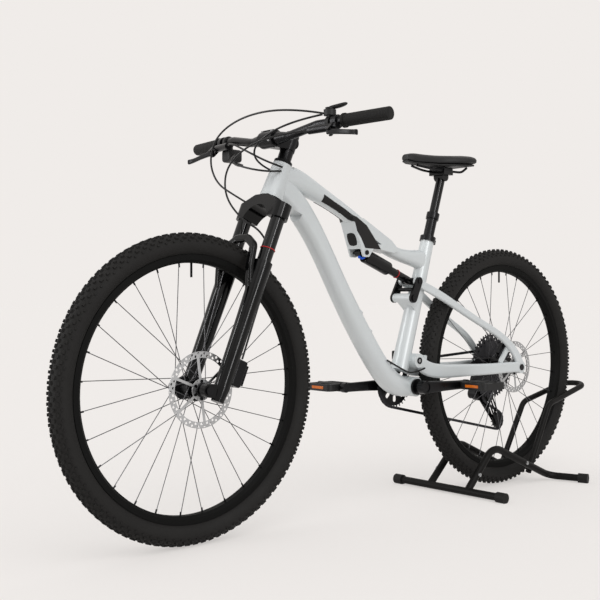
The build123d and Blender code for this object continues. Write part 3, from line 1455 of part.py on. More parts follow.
# Cassette: cogs on a drum, large ones inside.
DRUM_RADIUS = 17.5
cassette_solids = []
chain_cog_place = COGS.index(CHAIN_COG)
for place, teeth in enumerate(COGS):
    y = -CHAINLINE + (chain_cog_place - place) * COG_SPACING
    phase = gap_angle(0) if teeth == CHAIN_COG else 0.0
    inner = DRUM_RADIUS + 0.05 if teeth > 12 else FREEHUB_BORE + 4.05
    with BuildPart() as cog:
        with BuildSketch(side_plane(y + COG_THICK / 2)):
            with BuildLine():
                Polyline(*[moved(rear_axle, *p) for p in toothed(teeth, phase)], close=True)
            make_face()
            with Locations(rear_axle):
                Circle(inner, mode=Mode.SUBTRACT)
                if teeth >= 28:
                    outer_edge = PITCH / (2 * sin(pi / teeth)) - 13
                    window = outer_edge - DRUM_RADIUS - 8
                    with PolarLocations((outer_edge + DRUM_RADIUS + 8) / 2, 8):
                        Rectangle(window, 11.0, mode=Mode.SUBTRACT)
        extrude(amount=COG_THICK)
    cassette_solids.append(cog.part)
drum_in = -CHAINLINE + chain_cog_place * COG_SPACING + 1.2
drum_step = -CHAINLINE + (chain_cog_place - 9) * COG_SPACING - 1.2
drum_out = -CHAINLINE + (chain_cog_place - 11) * COG_SPACING - 1.0
with BuildPart() as drum:
    bar_across(rear_axle, drum_step, drum_in, DRUM_RADIUS)
    bar_across(rear_axle, drum_out, drum_in, FREEHUB_BORE + 4)
    bar_across(rear_axle, -90, 0, FREEHUB_BORE + SLIDE_FIT, Mode.SUBTRACT)
cassette_solids.append(drum.part)
write(Compound(children=cassette_solids), "cassette")

# Derailleur: body, cage and two pulleys.
PLATE_IN = -CHAINLINE + 4.5
PLATE_OUT = -CHAINLINE - 4.5
knuckle = moved(guide_pulley, 34, 2)
hanger = moved(rear_axle, 8, -29)
with BuildPart() as derailleur_body:
    bar_across(hanger, -rear_half - 22, -rear_half - 12.6, 12.0)
    with BuildSketch(side_plane(-rear_half - 9)):
        with Locations(hanger):
            Circle(10)
        with Locations(moved(hanger, 12, -30)):
            Circle(11)
        make_hull()
    extrude(amount=11)
    with BuildSketch(side_plane(-62)):
        with Locations(moved(hanger, 12, -30)):
            Circle(11)
        with Locations(knuckle):
            Circle(15)
        make_hull()
    extrude(amount=23)
    bar_across(knuckle, -88, PLATE_OUT - 1.9, 17.0)
    bar_across(knuckle, -70, PLATE_OUT - 1.8, 21.0)
write(derailleur_body.part, "derailleur_body")
with BuildPart() as derailleur_cage:
    for face in (PLATE_IN + 1.5, PLATE_OUT):
        with BuildSketch(side_plane(face)):
            with Locations(guide_pulley):
                Circle(13)
            with Locations(tension_pulley):
                Circle(15)
            if face < -CHAINLINE:
                with Locations(knuckle):
                    Circle(14)
            make_hull()
            with Locations(part_way(guide_pulley, tension_pulley, 0.5, 0.5)):
                SlotOverall(34, 9, rotation=degrees(cage_angle), mode=Mode.SUBTRACT)
        extrude(amount=1.5)
    for place in (guide_pulley, tension_pulley):
        bar_across(place, PLATE_OUT - 1, PLATE_IN + 1, 3.0)
write(derailleur_cage.part, "derailleur_cage")
for name, place, index in (
    ("guide_pulley", guide_pulley, 3),
    ("tension_pulley", tension_pulley, 2),
):
    with BuildPart() as pulley:
        with BuildSketch(side_plane(-CHAINLINE + 1.0)):
            with BuildLine():
                points = toothed(PULLEY_TEETH, gap_angle(index))
                Polyline(*[moved(place, *p) for p in points], close=True)
            make_face()
            with Locations(place):
                Circle(3.0 + SLIDE_FIT, mode=Mode.SUBTRACT)
        extrude(amount=2.0)
    write(pulley.part, name)

# Stand: a front bar, two bent side rails and a tall loop that holds the tyre between its legs.
BAR_AHEAD = 248.0
BAR_HALF = 205.0
PEAK = (122.0, 70.0, 134.0)
RAIL_FRONT_Y = 72.0
RAIL_BEND = (-158.0, 76.0)
RAIL_FOOT = (-196.0, 190.0)
CAP_RADIUS = FOOT_RADIUS + 1.0
LOOP_BEND = (-200.0, 50.0, 238.0)
LOOP_TOP = 290.0
LOOP_HALF_GAP = TYRE_WIDTH / 2 + LOOP_RADIUS + 4.5
LEG_BASE = -88.0


def by_wheel(x, y, z):
    """A point given from the floor under the rear axle."""
    return (rear_x + x, y, z)


def pipe(points, radius, wall, bends):
    """A hollow bent tube through the given points."""
    with BuildPart() as made:
        with BuildLine() as path:
            FilletPolyline(*points, radius=bends)
        with BuildSketch(Plane(path.line @ 0, z_dir=path.line % 0)):
            Circle(radius)
            Circle(radius - wall, mode=Mode.SUBTRACT)
        sweep()
    return made.part


bar_place = (rear_x + BAR_AHEAD, FOOT_RADIUS)
with BuildPart() as stand_front_bar:
    bar_across(bar_place, -BAR_HALF, BAR_HALF, STAND_TUBE)
    bar_across(bar_place, -BAR_HALF - 1, BAR_HALF + 1, STAND_TUBE - STAND_WALL, Mode.SUBTRACT)
write(stand_front_bar.part, "stand_front_bar")

rail_solids = []
for side in (-1, 1):
    rail_path = [
        by_wheel(BAR_AHEAD, side * RAIL_FRONT_Y, FOOT_RADIUS),
        by_wheel(PEAK[0], side * PEAK[1], PEAK[2]),
        by_wheel(RAIL_BEND[0], side * RAIL_BEND[1], FOOT_RADIUS),
        by_wheel(RAIL_FOOT[0], side * RAIL_FOOT[1], FOOT_RADIUS),
    ]
    rail_tube = pipe(rail_path, STAND_TUBE, STAND_WALL, [60, 42])
    with BuildPart() as stand_rail:
        add(rail_tube)
        bar_across(bar_place, -300, 300, STAND_TUBE + 0.05, Mode.SUBTRACT)
    rail_solids.append(stand_rail.part.solids().sort_by(SortBy.VOLUME)[-1])
write(Compound(children=rail_solids), "stand_side_rails")

rail_share = (LEG_BASE - RAIL_BEND[0]) / (PEAK[0] - RAIL_BEND[0])
rail_z = FOOT_RADIUS + rail_share * (PEAK[2] - FOOT_RADIUS)
rail_y = RAIL_BEND[1] + rail_share * (PEAK[1] - RAIL_BEND[1])
leg_y = rail_y - STAND_TUBE - LOOP_RADIUS - 0.15
loop_back = LOOP_RADIUS - LOOP_REACH
loop_half = [
    by_wheel(LEG_BASE + 8, leg_y, rail_z - 14),
    by_wheel(LOOP_BEND[0], LOOP_BEND[1], LOOP_BEND[2]),
    by_wheel(loop_back, LOOP_HALF_GAP, LOOP_TOP),
]
loop_path = loop_half + [other_side(point) for point in reversed(loop_half)]
loop_bends = [45, LOOP_HALF_GAP - 3, LOOP_HALF_GAP - 3, 45]
write(pipe(loop_path, LOOP_RADIUS, STAND_WALL, loop_bends), "stand_wheel_loop")

cap_solids = []
rail_end = Vector(RAIL_FOOT[0] - RAIL_BEND[0], RAIL_FOOT[1] - RAIL_BEND[1], 0).normalized()
for side in (-1, 1):
    for origin, out in (
        (by_wheel(BAR_AHEAD, side * BAR_HALF, FOOT_RADIUS), (0, side, 0)),
        (
            by_wheel(RAIL_FOOT[0], side * RAIL_FOOT[1], FOOT_RADIUS),
            (rail_end.X, side * rail_end.Y, 0),
        ),
    ):
        cap_plane = Plane(origin, x_dir=(0, 0, 1), z_dir=out)
        with BuildPart() as cap:
            rod(cap_plane.offset(-24), 30, CAP_RADIUS)
            rod(cap_plane.offset(-26), 26.05, STAND_TUBE + 0.05, Mode.SUBTRACT)
            with Locations((origin[0], origin[1], -10)):
                Box(90, 90, 20, mode=Mode.SUBTRACT)
        cap_solids.append(cap.part)
write(Compound(children=cap_solids), "stand_end_caps")

# Cables and hoses: straight runs joined by wide arcs.
HOSE_RADIUS = 2.5


def by_bar(ahead, y, up):
    """A point given from the middle of the handlebar clamp."""
    return (bar_spot[0] + ahead, y, bar_spot[1] + up)


def head_port(side, down):
    """Where a cable goes into the head tube."""
    return fork_point(head_top - down, 15.5, side * 24.5)


lockout_cable = [
    (remote_spot[0] + 4, remote_spot[1] - 15.5, remote_spot[2]),
    by_bar(30, 110, 60),
    by_bar(62, -20, 58),
    by_bar(70, -130, 22),
    by_bar(62, -175, -40),
    by_bar(50, -160, -100),
    by_bar(38, -100, -135),
    fork_point(AXLE_TO_CROWN - 14, LEG_AHEAD, -LEG_HALF_GAP),
]
shock_cable = [
    (remote_spot[0] + 9, remote_spot[1] - 16, remote_spot[2] - 3),
    by_bar(42, 120, 24),
    by_bar(66, 20, -16),
    by_bar(32, -26, -56),
    head_port(-1, 18),
]
hose_start = lever_point(-64, LEVER_AHEAD - 2, LEVER_BELOW - 8, -1)
rear_brake_hose = [
    hose_start,
    by_bar(60, -95, 0),
    by_bar(64, -10, -36),
    by_bar(30, 26, -62),
    head_port(1, 16),
]
shift_cable = [
    (pod_spot[0] + 8, pod_spot[1] + 22.5, pod_spot[2]),
    by_bar(48, -120, -44),
    by_bar(52, -40, -72),
    by_bar(24, 26, -86),
    head_port(1, 27),
]
cables = []
for route in (lockout_cable, shock_cable, rear_brake_hose, shift_cable):
    cables.append(cable(route, HOSE_RADIUS))
write(Compound(children=cables), "control_cables")

hose_left = lever_point(-64, LEVER_AHEAD - 2, LEVER_BELOW - 8, 1)
front_hose = [
    hose_left,
    by_bar(75, 70, -6),
    by_bar(104, -40, -60),
    by_bar(104, -58, -140),
    fork_point(AXLE_TO_CROWN - 80, 52, -20),
    fork_point(AXLE_TO_CROWN - 95, 8, 24),
    fork_point(LOWER_TOP + 40, -32, 44),
    fork_point(230, -30, 50),
    fork_point(106, -34, 50),
]
write(cable(front_hose, HOSE_RADIUS), "front_brake_hose")

hose_exit = down_tube_point(0.235, 0.15)
rear_loop = [
    (hose_exit[0], 33.3, hose_exit[1]),
    (hose_exit[0] - 50, 45, hose_exit[1] - 28),
    (main_pivot[0] + 32, 47, main_pivot[1] - 36),
    (main_pivot[0] - 20, 46.2, main_pivot[1] - 22),
]
write(cable(rear_loop, HOSE_RADIUS), "rear_hose_loop")
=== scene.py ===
# %% [markdown]
# A full-suspension mountain bicycle stands in a tubular floor stand. The rigid pieces come from a
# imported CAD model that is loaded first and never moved. This lesson gives every piece its finish
# and adds what the CAD leaves plain: tread, nipples, bolts, cables, chain and the saddle's cover.

import math

import bmesh
import bpy
import numpy as np
from mathutils import Matrix, Vector, geometry
from mathutils.bvhtree import BVHTree


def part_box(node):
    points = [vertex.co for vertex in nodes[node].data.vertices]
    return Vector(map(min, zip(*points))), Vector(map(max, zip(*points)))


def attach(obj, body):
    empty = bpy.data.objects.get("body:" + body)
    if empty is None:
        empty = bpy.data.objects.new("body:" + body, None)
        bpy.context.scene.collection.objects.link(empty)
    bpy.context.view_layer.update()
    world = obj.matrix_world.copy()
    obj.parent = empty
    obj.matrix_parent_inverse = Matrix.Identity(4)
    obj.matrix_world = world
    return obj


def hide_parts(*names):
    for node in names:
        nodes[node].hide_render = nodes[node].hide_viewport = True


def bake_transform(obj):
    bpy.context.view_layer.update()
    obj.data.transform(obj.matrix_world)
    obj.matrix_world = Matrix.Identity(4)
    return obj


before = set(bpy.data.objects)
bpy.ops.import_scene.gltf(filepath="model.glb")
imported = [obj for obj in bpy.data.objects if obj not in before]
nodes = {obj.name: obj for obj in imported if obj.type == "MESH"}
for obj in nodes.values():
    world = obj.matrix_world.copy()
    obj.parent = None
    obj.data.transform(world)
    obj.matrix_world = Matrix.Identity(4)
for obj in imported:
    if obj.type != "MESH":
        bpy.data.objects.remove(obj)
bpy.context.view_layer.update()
scene = bpy.context.scene
scene.view_settings.view_transform = "Standard"

# %% [markdown]
# The camera stands ahead of the bicycle and to its left, at the height of the saddle's rails. Its
# place was worked out from the two wheels, whose size is known, so no fitting by eye is needed.

# %% Camera
CAMERA_SPOT = Vector((1.9636, 1.8960, 0.5825))
CAMERA_YAW, CAMERA_PITCH = -2.2960, 0.0018
SENSOR_MM, LENS_MM, FAR_CLIP = 36.0, 58.62, 200.0


def linked(name, data):
    """A new object in the scene for a mesh, curve, lamp or camera."""
    made = bpy.data.objects.new(name, data)
    scene.collection.objects.link(made)
    return made


eye = linked("photo_camera", bpy.data.cameras.new("photo_camera"))
eye.data.sensor_width, eye.data.lens, eye.data.clip_end = SENSOR_MM, LENS_MM, FAR_CLIP
level, drop = math.cos(CAMERA_PITCH), math.sin(CAMERA_PITCH)
look = Vector((level * math.cos(CAMERA_YAW), level * math.sin(CAMERA_YAW), -drop))
right = look.cross(Vector((0, 0, 1))).normalized()
up = right.cross(look)
turn = Matrix((right, up, -look)).transposed().to_4x4()
eye.matrix_world = Matrix.Translation(CAMERA_SPOT) @ turn
scene.camera = eye
print("camera", [round(c, 3) for c in eye.location])

# %% [markdown]
# Two helpers serve every finish and tree. One turns an sRGB hex value to linear light. The other
# adds a node with its settings and inputs, and its inner half also feeds a node already there.

# %% Colour and node helpers
def colour(hex_value):
    """An sRGB hex value as linear red, green, blue and alpha."""
    parts = [int(hex_value[i : i + 2], 16) / 255 for i in (0, 2, 4)]
    return [p / 12.92 if p <= 0.04045 else ((p + 0.055) / 1.055) ** 2.4 for p in parts] + [1.0]


def feed(tree, node, inputs):
    """Gives a node its inputs by name or number: an output is linked, a value is written."""
    for key, value in inputs.items():
        if isinstance(value, bpy.types.NodeSocket):
            tree.links.new(value, node.inputs[key])
        else:
            node.inputs[key].default_value = value


def add(tree, kind, inputs=None, **settings):
    """Adds a node with its settings and inputs."""
    made = tree.nodes.new(kind)
    for key, value in settings.items():
        setattr(made, key, value)
    feed(tree, made, inputs or {})
    return made


def start_finish(name):
    """A new material: its tree, its surface shader and its object coordinates."""
    made = bpy.data.materials.new(name)
    made.use_nodes = True
    tree = made.node_tree
    where = add(tree, "ShaderNodeTexCoord").outputs["Object"]
    return made, tree, tree.nodes["Principled BSDF"], where


# %% [markdown]
# Most pieces are moulded, cast or anodised in black, and each differs by its grain. This function
# makes such a finish: a base colour with a faint mottle, a roughness that wanders and a fine bump
# at a grain given in real millimetres.

# %% A grained finish
MOTTLES_PER_METRE = 14.0  # one about every 71 mm
ROUGH_SWAY = 0.07


def grained(name, dark, light, rough, grain_mm, bump=0.1, metallic=0.0, shine=0.3):
    """A finish with a broad mottle in colour and roughness and a relief of a real grain size."""
    made, tree, shader, where = start_finish(name)
    fine = add(tree, "ShaderNodeTexNoise", {
        "Vector": where, "Scale": 1000.0 / grain_mm, "Detail": 3.0, "Roughness": 0.6,
    })
    broad = add(tree, "ShaderNodeTexNoise", {
        "Vector": where, "Scale": MOTTLES_PER_METRE, "Detail": 4.0,
    })
    mottle = broad.outputs["Fac"]
    # The Mix node keeps one set of sockets per data type: 6 and 7 are its two colours.
    tones = {0: mottle, 6: colour(dark), 7: colour(light)}
    blend = add(tree, "ShaderNodeMix", tones, data_type="RGBA")
    wander = add(tree, "ShaderNodeMapRange", {
        "Value": mottle, "From Min": 0.3, "From Max": 0.7,
        "To Min": max(rough - ROUGH_SWAY, 0.02), "To Max": min(rough + ROUGH_SWAY, 1.0),
    })
    relief = add(tree, "ShaderNodeBump", {
        "Height": fine.outputs["Fac"], "Strength": bump, "Distance": grain_mm / 4000.0,
    })
    feed(tree, shader, {
        "Base Color": blend.outputs[2], "Roughness": wander.outputs["Result"],
        "Normal": relief.outputs["Normal"], "Metallic": metallic, "Specular IOR Level": shine,
    })
    return made


# Tyre tread is dull and pebbled; the softer rubber of caps and seals is a little smoother.
tyre_rubber = grained("vulcanised_tyre_rubber", "171615", "201F1E", 0.74, 1.6, 0.35, shine=0.2)
soft_rubber = grained("moulded_soft_rubber", "131312", "1B1A19", 0.66, 0.8, 0.3, shine=0.2)
# An extruded skin has a faint shine along the hose.
hose_skin = grained("extruded_hose_skin", "0E0E0F", "161617", 0.38, 0.8, 0.08)
# Anodised metal has a silky glint; enamel and hard tubes mirror the lamps in thin bright lines.
anodised = grained("black_anodised_aluminium", "0E0E10", "161618", 0.3, 0.5, 0.08, 0.55, 0.35)
gloss_black = grained("gloss_black_enamel", "050506", "09090A", 0.14, 0.9, 0.02, shine=0.2)
hard_black = grained("hard_anodised_tube", "070708", "0C0C0D", 0.1, 0.6, 0.01, shine=0.25)
# Moulded carbon is flat black, and nylon shows the grain of its mould.
carbon_matte = grained("matte_moulded_carbon", "0C0C0C", "121211", 0.62, 0.7, 0.1, shine=0.07)
nylon = grained("glass_filled_nylon", "101011", "181818", 0.55, 0.6, 0.25)
# Powder coat is satin with a fine orange peel.
stand_powder = grained("satin_powder_coat", "100F0E", "171615", 0.48, 0.5, 0.22, shine=0.1)
# Coated chain and drawn spokes are grey metals, and stainless steel is the palest.
chain_steel = grained("dark_coated_steel", "27272A", "38383B", 0.34, 0.6, 0.06, 0.9)
spoke_steel = grained("dark_drawn_steel", "4A4A4C", "5E5E60", 0.34, 0.5, 0.04, 0.8)
bright_steel = grained("stainless_steel", "9C9D9E", "B4B5B6", 0.38, 0.5, 0.05, 1.0)
# Two small accents: soft red rubber and blue anodising.
red_rubber = grained("red_silicone_rubber", "A8161C", "BE1D22", 0.45, 0.5, 0.05)
blue_alloy = grained("blue_anodised_aluminium", "1348B4", "1B58CC", 0.3, 0.5, 0.06, 0.5)
print("finishes", len(bpy.data.materials))

# %% [markdown]
# The frame is sprayed with a pearl white: a pale base, tiny flakes that change the tone, and a
# clear coat. The flakes are really about 0.1 mm, too fine to show, so they are drawn at 1.2 mm.

# %% Pearl paint
FLAKE_MM, TONE_MM = 1.2, 200.0


def pearl_paint(name):
    """Pearl white lacquer under a clear coat."""
    made, tree, shader, where = start_finish(name)
    flakes = add(tree, "ShaderNodeTexVoronoi", {
        "Vector": where, "Scale": 1000.0 / FLAKE_MM, "Randomness": 1.0,
    })
    tone = add(tree, "ShaderNodeTexNoise", {
        "Vector": where, "Scale": 1000.0 / TONE_MM, "Detail": 3.0,
    })
    flake_tone = add(tree, "ShaderNodeValToRGB", {"Fac": flakes.outputs["Color"]})
    flake_tone.color_ramp.elements[0].color = colour("C2C6C9")
    flake_tone.color_ramp.elements[1].color = colour("D5D9DB")
    calmed = {0: 0.35, 6: flake_tone.outputs["Color"], 7: colour("CDD1D4")}
    wash = add(tree, "ShaderNodeMix", calmed, data_type="RGBA")
    washed = {0: tone.outputs["Fac"], 6: wash.outputs[2], 7: colour("CAD0D0")}
    tint = add(tree, "ShaderNodeMix", washed, data_type="RGBA")
    feed(tree, shader, {
        "Base Color": tint.outputs[2], "Metallic": 0.12, "Roughness": 0.42,
        "Coat Weight": 0.35, "Coat Roughness": 0.25,
    })
    return made


pearl = pearl_paint("pearl_white_lacquer")
print(pearl.name, len(pearl.node_tree.nodes), "nodes")

# %% [markdown]
# Grips are moulded with fine ribs round the bar, so that a wet glove still holds. The ribs are a
# wave along the bar's own direction, one every 4 mm, in the bump, and in the colour as painted
# shade and highlight: a little darker in the grooves, lighter on the crests.

# %% Ribbed grip rubber
RIB_MM = 4.0
# The Wave texture turns by this many radians over one unit of its scale.
WAVE_RADIANS = 20.0


def ribbed_rubber(name):
    """Soft rubber with ribs across the bar, and painted shade in their grooves."""
    made, tree, shader, where = start_finish(name)
    spacing = {
        "Vector": where, "Scale": math.tau * 1000.0 / RIB_MM / WAVE_RADIANS, "Distortion": 0.4,
    }
    ribs = add(tree, "ShaderNodeTexWave", spacing, bands_direction="Y")
    # The colour follows the ribs as painted shade: darker in the grooves, lighter on the crests.
    tone = add(tree, "ShaderNodeValToRGB", {"Fac": ribs.outputs["Fac"]})
    tone.color_ramp.elements[0].color = colour("0C0C0C")
    tone.color_ramp.elements[1].color = colour("1C1B1A")
    relief = add(tree, "ShaderNodeBump", {
        "Height": ribs.outputs["Fac"], "Strength": 0.7, "Distance": 0.001,
    })
    feed(tree, shader, {
        "Base Color": tone.outputs["Color"], "Normal": relief.outputs["Normal"],
        "Roughness": 0.7, "Specular IOR Level": 0.2,
    })
    return made


grip_rubber = ribbed_rubber("ribbed_grip_rubber")
print(grip_rubber.name, len(grip_rubber.node_tree.nodes), "nodes")

# %% [markdown]
# Each CAD node takes a finish by assigning to its material slot; the mesh itself is untouched.

# %% Finishes on the CAD nodes
finish_of = {
    pearl: "main_frame rear_triangle",
    gloss_black: "fork_lowers fork_crown",
    hard_black: "fork_stanchions shock_body shock_shaft seatpost_inner",
    anodised: "headset frame_fittings bottom_bracket seatpost_outer saddle_clamp saddle_rails "
    "stem stem_faceplate headset_spacers handlebar brake_lever_bodies "
    "left_brake_blade right_brake_blade front_hub rear_hub front_caliper rear_caliper "
    "rocker_link crankset derailleur_body derailleur_cage pivot_axles front_axle "
    "swingarm_bolts",
    carbon_matte: "front_rim rear_rim",
    nylon: "saddle_base control_pods shift_paddle remote_lever pedal_left pedal_right "
    "guide_pulley tension_pulley",
    soft_rubber: "fork_wipers stand_end_caps",
    grip_rubber: "grips",
    spoke_steel: "front_spokes rear_spokes",
    chain_steel: "cassette",
    stand_powder: "stand_front_bar stand_side_rails stand_wheel_loop",
}
for finish, names in finish_of.items():
    for name in names.split():
        nodes[name].data.materials.clear()
        nodes[name].data.materials.append(finish)
print("nodes with a finish", sum(len(n.split()) for n in finish_of.values()))

# %% [markdown]
# Every piece made below ends as a plain mesh with its place in it, as the CAD pieces do. These
# helpers turn points, a bmesh or a carrier's modifiers into such a mesh, and join several in one.

# %% Mesh helpers
WELD = 1e-6
still = Matrix.Identity(4)


def mesh_from(name, verts, faces):
    """A mesh from points and faces."""
    mesh = bpy.data.meshes.new(name)
    mesh.from_pydata(verts, [], faces)
    return mesh


def written(work, name):
    """A mesh from a bmesh, which is freed."""
    mesh = bpy.data.meshes.new(name)
    work.to_mesh(mesh)
    work.free()
    return mesh


def welded(mesh):
    """A bmesh copy of a mesh, with the points merged that lie on each other."""
    work = bmesh.new()
    work.from_mesh(mesh)
    bmesh.ops.remove_doubles(work, verts=work.verts, dist=WELD)
    return work


def plain_mesh(carrier):
    """What a carrier's modifiers or curve give, as a mesh of its own; the carrier goes."""
    ready = carrier.evaluated_get(bpy.context.evaluated_depsgraph_get())
    mesh = bpy.data.meshes.new_from_object(ready)
    carrier.modifiers.clear()
    bpy.data.objects.remove(carrier)
    return mesh


def joined(name, pieces, finish, smooth=False):
    """One object from (mesh, matrix) pairs, its place in its mesh; prints its face count."""
    work = bmesh.new()
    for mesh, place in pieces:
        before = len(work.verts)
        work.from_mesh(mesh)
        work.verts.ensure_lookup_table()
        for vert in work.verts[before:]:
            vert.co = place @ vert.co
    bmesh.ops.recalc_face_normals(work, faces=work.faces)
    mesh = written(work, name)
    mesh.materials.clear()
    mesh.materials.append(finish)
    for face in mesh.polygons:
        face.use_smooth = smooth
        face.material_index = 0
    print(name, len(mesh.polygons), "faces")
    return linked(name, mesh)


print("helpers weld points nearer than", WELD, "m")

# %% [markdown]
# Knobs, teeth, reflectors and nipples are small blocks and pegs that are repeated or joined later.
# They are drawn in bmesh with few faces, because some of them are repeated hundreds of times.

# %% Small shapes
def quads(rows, size, closed=False):
    """Faces between rows of points, where each row is a loop of the same size."""
    faces = []
    for row in range(rows if closed else rows - 1):
        a, b = row * size, (row + 1) % rows * size
        faces += [(a + i, a + (i + 1) % size, b + (i + 1) % size, b + i) for i in range(size)]
    return faces


def chip(size, place, round_by=0.0):
    """A block of a size at a place, with rounded edges where asked."""
    work = bmesh.new()
    bmesh.ops.create_cube(work, size=1.0)
    bmesh.ops.scale(work, vec=size, verts=work.verts)
    if round_by:
        bmesh.ops.bevel(
            work, geom=work.edges, offset=round_by, segments=2, affect="EDGES", profile=0.5
        )
    bmesh.ops.transform(work, matrix=place, verts=work.verts)
    return written(work, "chip")


def block(size, taper=0.78):
    """A small block that narrows towards +X, centred on the YZ plane and rising along X."""
    work = bmesh.new()
    bmesh.ops.create_cube(work, size=1.0)
    for vert in work.verts:
        vert.co.x = (vert.co.x + 0.5) * size[0]
        narrow = taper if vert.co.x > 0 else 1.0
        vert.co.y *= size[1] * narrow
        vert.co.z *= size[2] * narrow
    return written(work, "block")


def peg(radius, length, sides=8):
    """A small round peg that rises along X from the YZ plane."""
    work = bmesh.new()
    bmesh.ops.create_cone(
        work, cap_ends=True, segments=sides, radius1=radius, radius2=radius, depth=length
    )
    turn = Matrix.Translation((length / 2, 0, 0)) @ Matrix.Rotation(math.pi / 2, 4, "Y")
    bmesh.ops.transform(work, matrix=turn, verts=work.verts)
    return written(work, "peg")


print("a block has", len(block((1, 1, 1)).polygons), "faces")

# %% [markdown]
# What repeats round an axle is made by one Geometry Nodes tree. It stands a shape on each point of
# a circle, turned outwards and leaned by a tilt, and realizes the copies so that they export.

# %% The ring tree
def start_tree(name, sockets):
    """A geometry tree with named inputs, and the outputs that hand them on."""
    tree = bpy.data.node_groups.new(name, "GeometryNodeTree")
    tree.is_modifier = True
    for socket, kind in sockets.items():
        tree.interface.new_socket(name=socket, in_out="INPUT", socket_type=f"NodeSocket{kind}")
    tree.interface.new_socket(name="Geometry", in_out="OUTPUT", socket_type="NodeSocketGeometry")
    return tree, add(tree, "NodeGroupInput").outputs


def end_tree(tree, shape, finish):
    """Ends a tree: its copies made real, painted and handed out."""
    real = add(tree, "GeometryNodeRealizeInstances", {"Geometry": shape})
    painted = add(tree, "GeometryNodeSetMaterial", {
        "Geometry": real.outputs["Geometry"], "Material": finish,
    })
    add(tree, "NodeGroupOutput", {"Geometry": painted.outputs["Geometry"]})
    return tree


def copies_round(tree, shape, count, radius, phase, facing=None):
    """Nodes that stand copies of a shape on a circle about Z and turn them all by a phase."""
    circle = add(tree, "GeometryNodeMeshCircle", {"Vertices": count, "Radius": radius})
    spots = {"Points": circle.outputs["Mesh"], "Instance": shape}
    if facing is not None:
        spots["Rotation"] = facing
    copies = add(tree, "GeometryNodeInstanceOnPoints", spots)
    spin = add(tree, "ShaderNodeCombineXYZ", {"Z": phase})
    spun = add(tree, "FunctionNodeEulerToRotation", {"Euler": spin.outputs["Vector"]})
    return add(tree, "GeometryNodeTransform", {
        "Geometry": copies.outputs["Instances"], "Rotation": spun.outputs["Rotation"],
    })


def ring_tree():
    """A node tree that repeats a shape round the Z axis."""
    tree, given = start_tree("shapes_round_an_axle", {
        "Shape": "Object", "Count": "Int", "Radius": "Float", "Offset": "Float",
        "Tilt": "Float", "Phase": "Float", "Finish": "Material",
    })
    count = given["Count"]
    index = add(tree, "GeometryNodeInputIndex").outputs["Index"]
    step = add(tree, "ShaderNodeMath", {0: math.tau, 1: count}, operation="DIVIDE")
    angle = add(tree, "ShaderNodeMath", {0: index, 1: step.outputs[0]}, operation="MULTIPLY")
    lean = add(tree, "ShaderNodeCombineXYZ", {"Y": given["Tilt"], "Z": angle.outputs[0]})
    turn = add(tree, "FunctionNodeEulerToRotation", {"Euler": lean.outputs["Vector"]})
    shape = add(tree, "GeometryNodeObjectInfo", {"Object": given["Shape"]}).outputs["Geometry"]
    facing = turn.outputs["Rotation"]
    placed = copies_round(tree, shape, count, given["Radius"], given["Phase"], facing)
    shift = add(tree, "ShaderNodeCombineXYZ", {"Z": given["Offset"]})
    feed(tree, placed, {"Translation": shift.outputs["Vector"]})
    return end_tree(tree, placed.outputs["Geometry"], given["Finish"])


RING = ring_tree()
# Turns a ring about Z into a ring about the bicycle's Y.
TO_AXLE = Matrix.Rotation(-math.pi / 2, 4, "X")


def tree_mesh(tree, values):
    """What a tree makes of its named values, as a plain mesh about the Z axis."""
    sockets = {s.name: s.identifier for s in tree.interface.items_tree if s.in_out == "INPUT"}
    carrier = linked("tree_carrier", bpy.data.meshes.new("tree_carrier"))
    modifier = carrier.modifiers.new("tree", "NODES")
    modifier.node_group = tree
    for name, value in values.items():
        modifier[sockets[name]] = value
    return plain_mesh(carrier)


def ring_mesh(mesh, finish, count, radius, offset=0.0, tilt=0.0, phase=0.0):
    """Copies of a mesh in a ring about the Z axis."""
    shape = linked("repeated_shape", mesh)
    made = tree_mesh(RING, {
        "Shape": shape, "Count": count, "Radius": radius, "Offset": offset,
        "Tilt": tilt, "Phase": phase, "Finish": finish,
    })
    bpy.data.objects.remove(shape)
    return made


print(RING.name, len(RING.nodes), "nodes")

# %% [markdown]
# A cross-country tyre has a thin casing and rows of low knobs. The casing is a lathed section with
# an inner wall, and each row of knobs is a ring whose radius, side offset and tilt come from one
# angle round the casing, so that every knob stands square on it.

# %% Tyres
TYRE_RADIUS, TYRE_WIDTH, RIM_EDGE = 0.369, 0.057, 0.317
KNOB_TALL, SIDE_KNOB_TALL, KNOB_ROOT, KNOBS_A_ROW = 0.0042, 0.0030, 0.001, 100
CASING_WALL, BEAD_DEEP = 0.0022, 0.0015
CASING = TYRE_WIDTH / 2 - SIDE_KNOB_TALL
casing_mid = TYRE_RADIUS - KNOB_TALL - CASING
axles = {"front": Vector((0.626, 0, 0.369)), "rear": Vector((-0.558, 0, 0.369))}


def on_axle(which, side=0.0):
    """The place of a ring on a wheel's axle, moved to the left by a distance."""
    return Matrix.Translation(axles[which] + Vector((0, side, 0))) @ TO_AXLE


def casing_mesh(steps=160, arc=40):
    """The tyre's casing about the Z axis: an outer and an inner wall, open towards the rim."""
    reach = math.acos((RIM_EDGE - BEAD_DEEP - casing_mid) / CASING)
    section = []
    for wall, order in ((CASING, 1), (CASING - CASING_WALL, -1)):
        angles = [order * (-reach + 2 * reach * i / arc) for i in range(arc + 1)]
        section += [(casing_mid + wall * math.cos(a), wall * math.sin(a)) for a in angles]
    verts = []
    for step in range(steps):
        turn = math.tau * step / steps
        verts += [(r * math.cos(turn), r * math.sin(turn), y) for r, y in section]
    return mesh_from("casing", verts, quads(steps, len(section), closed=True))


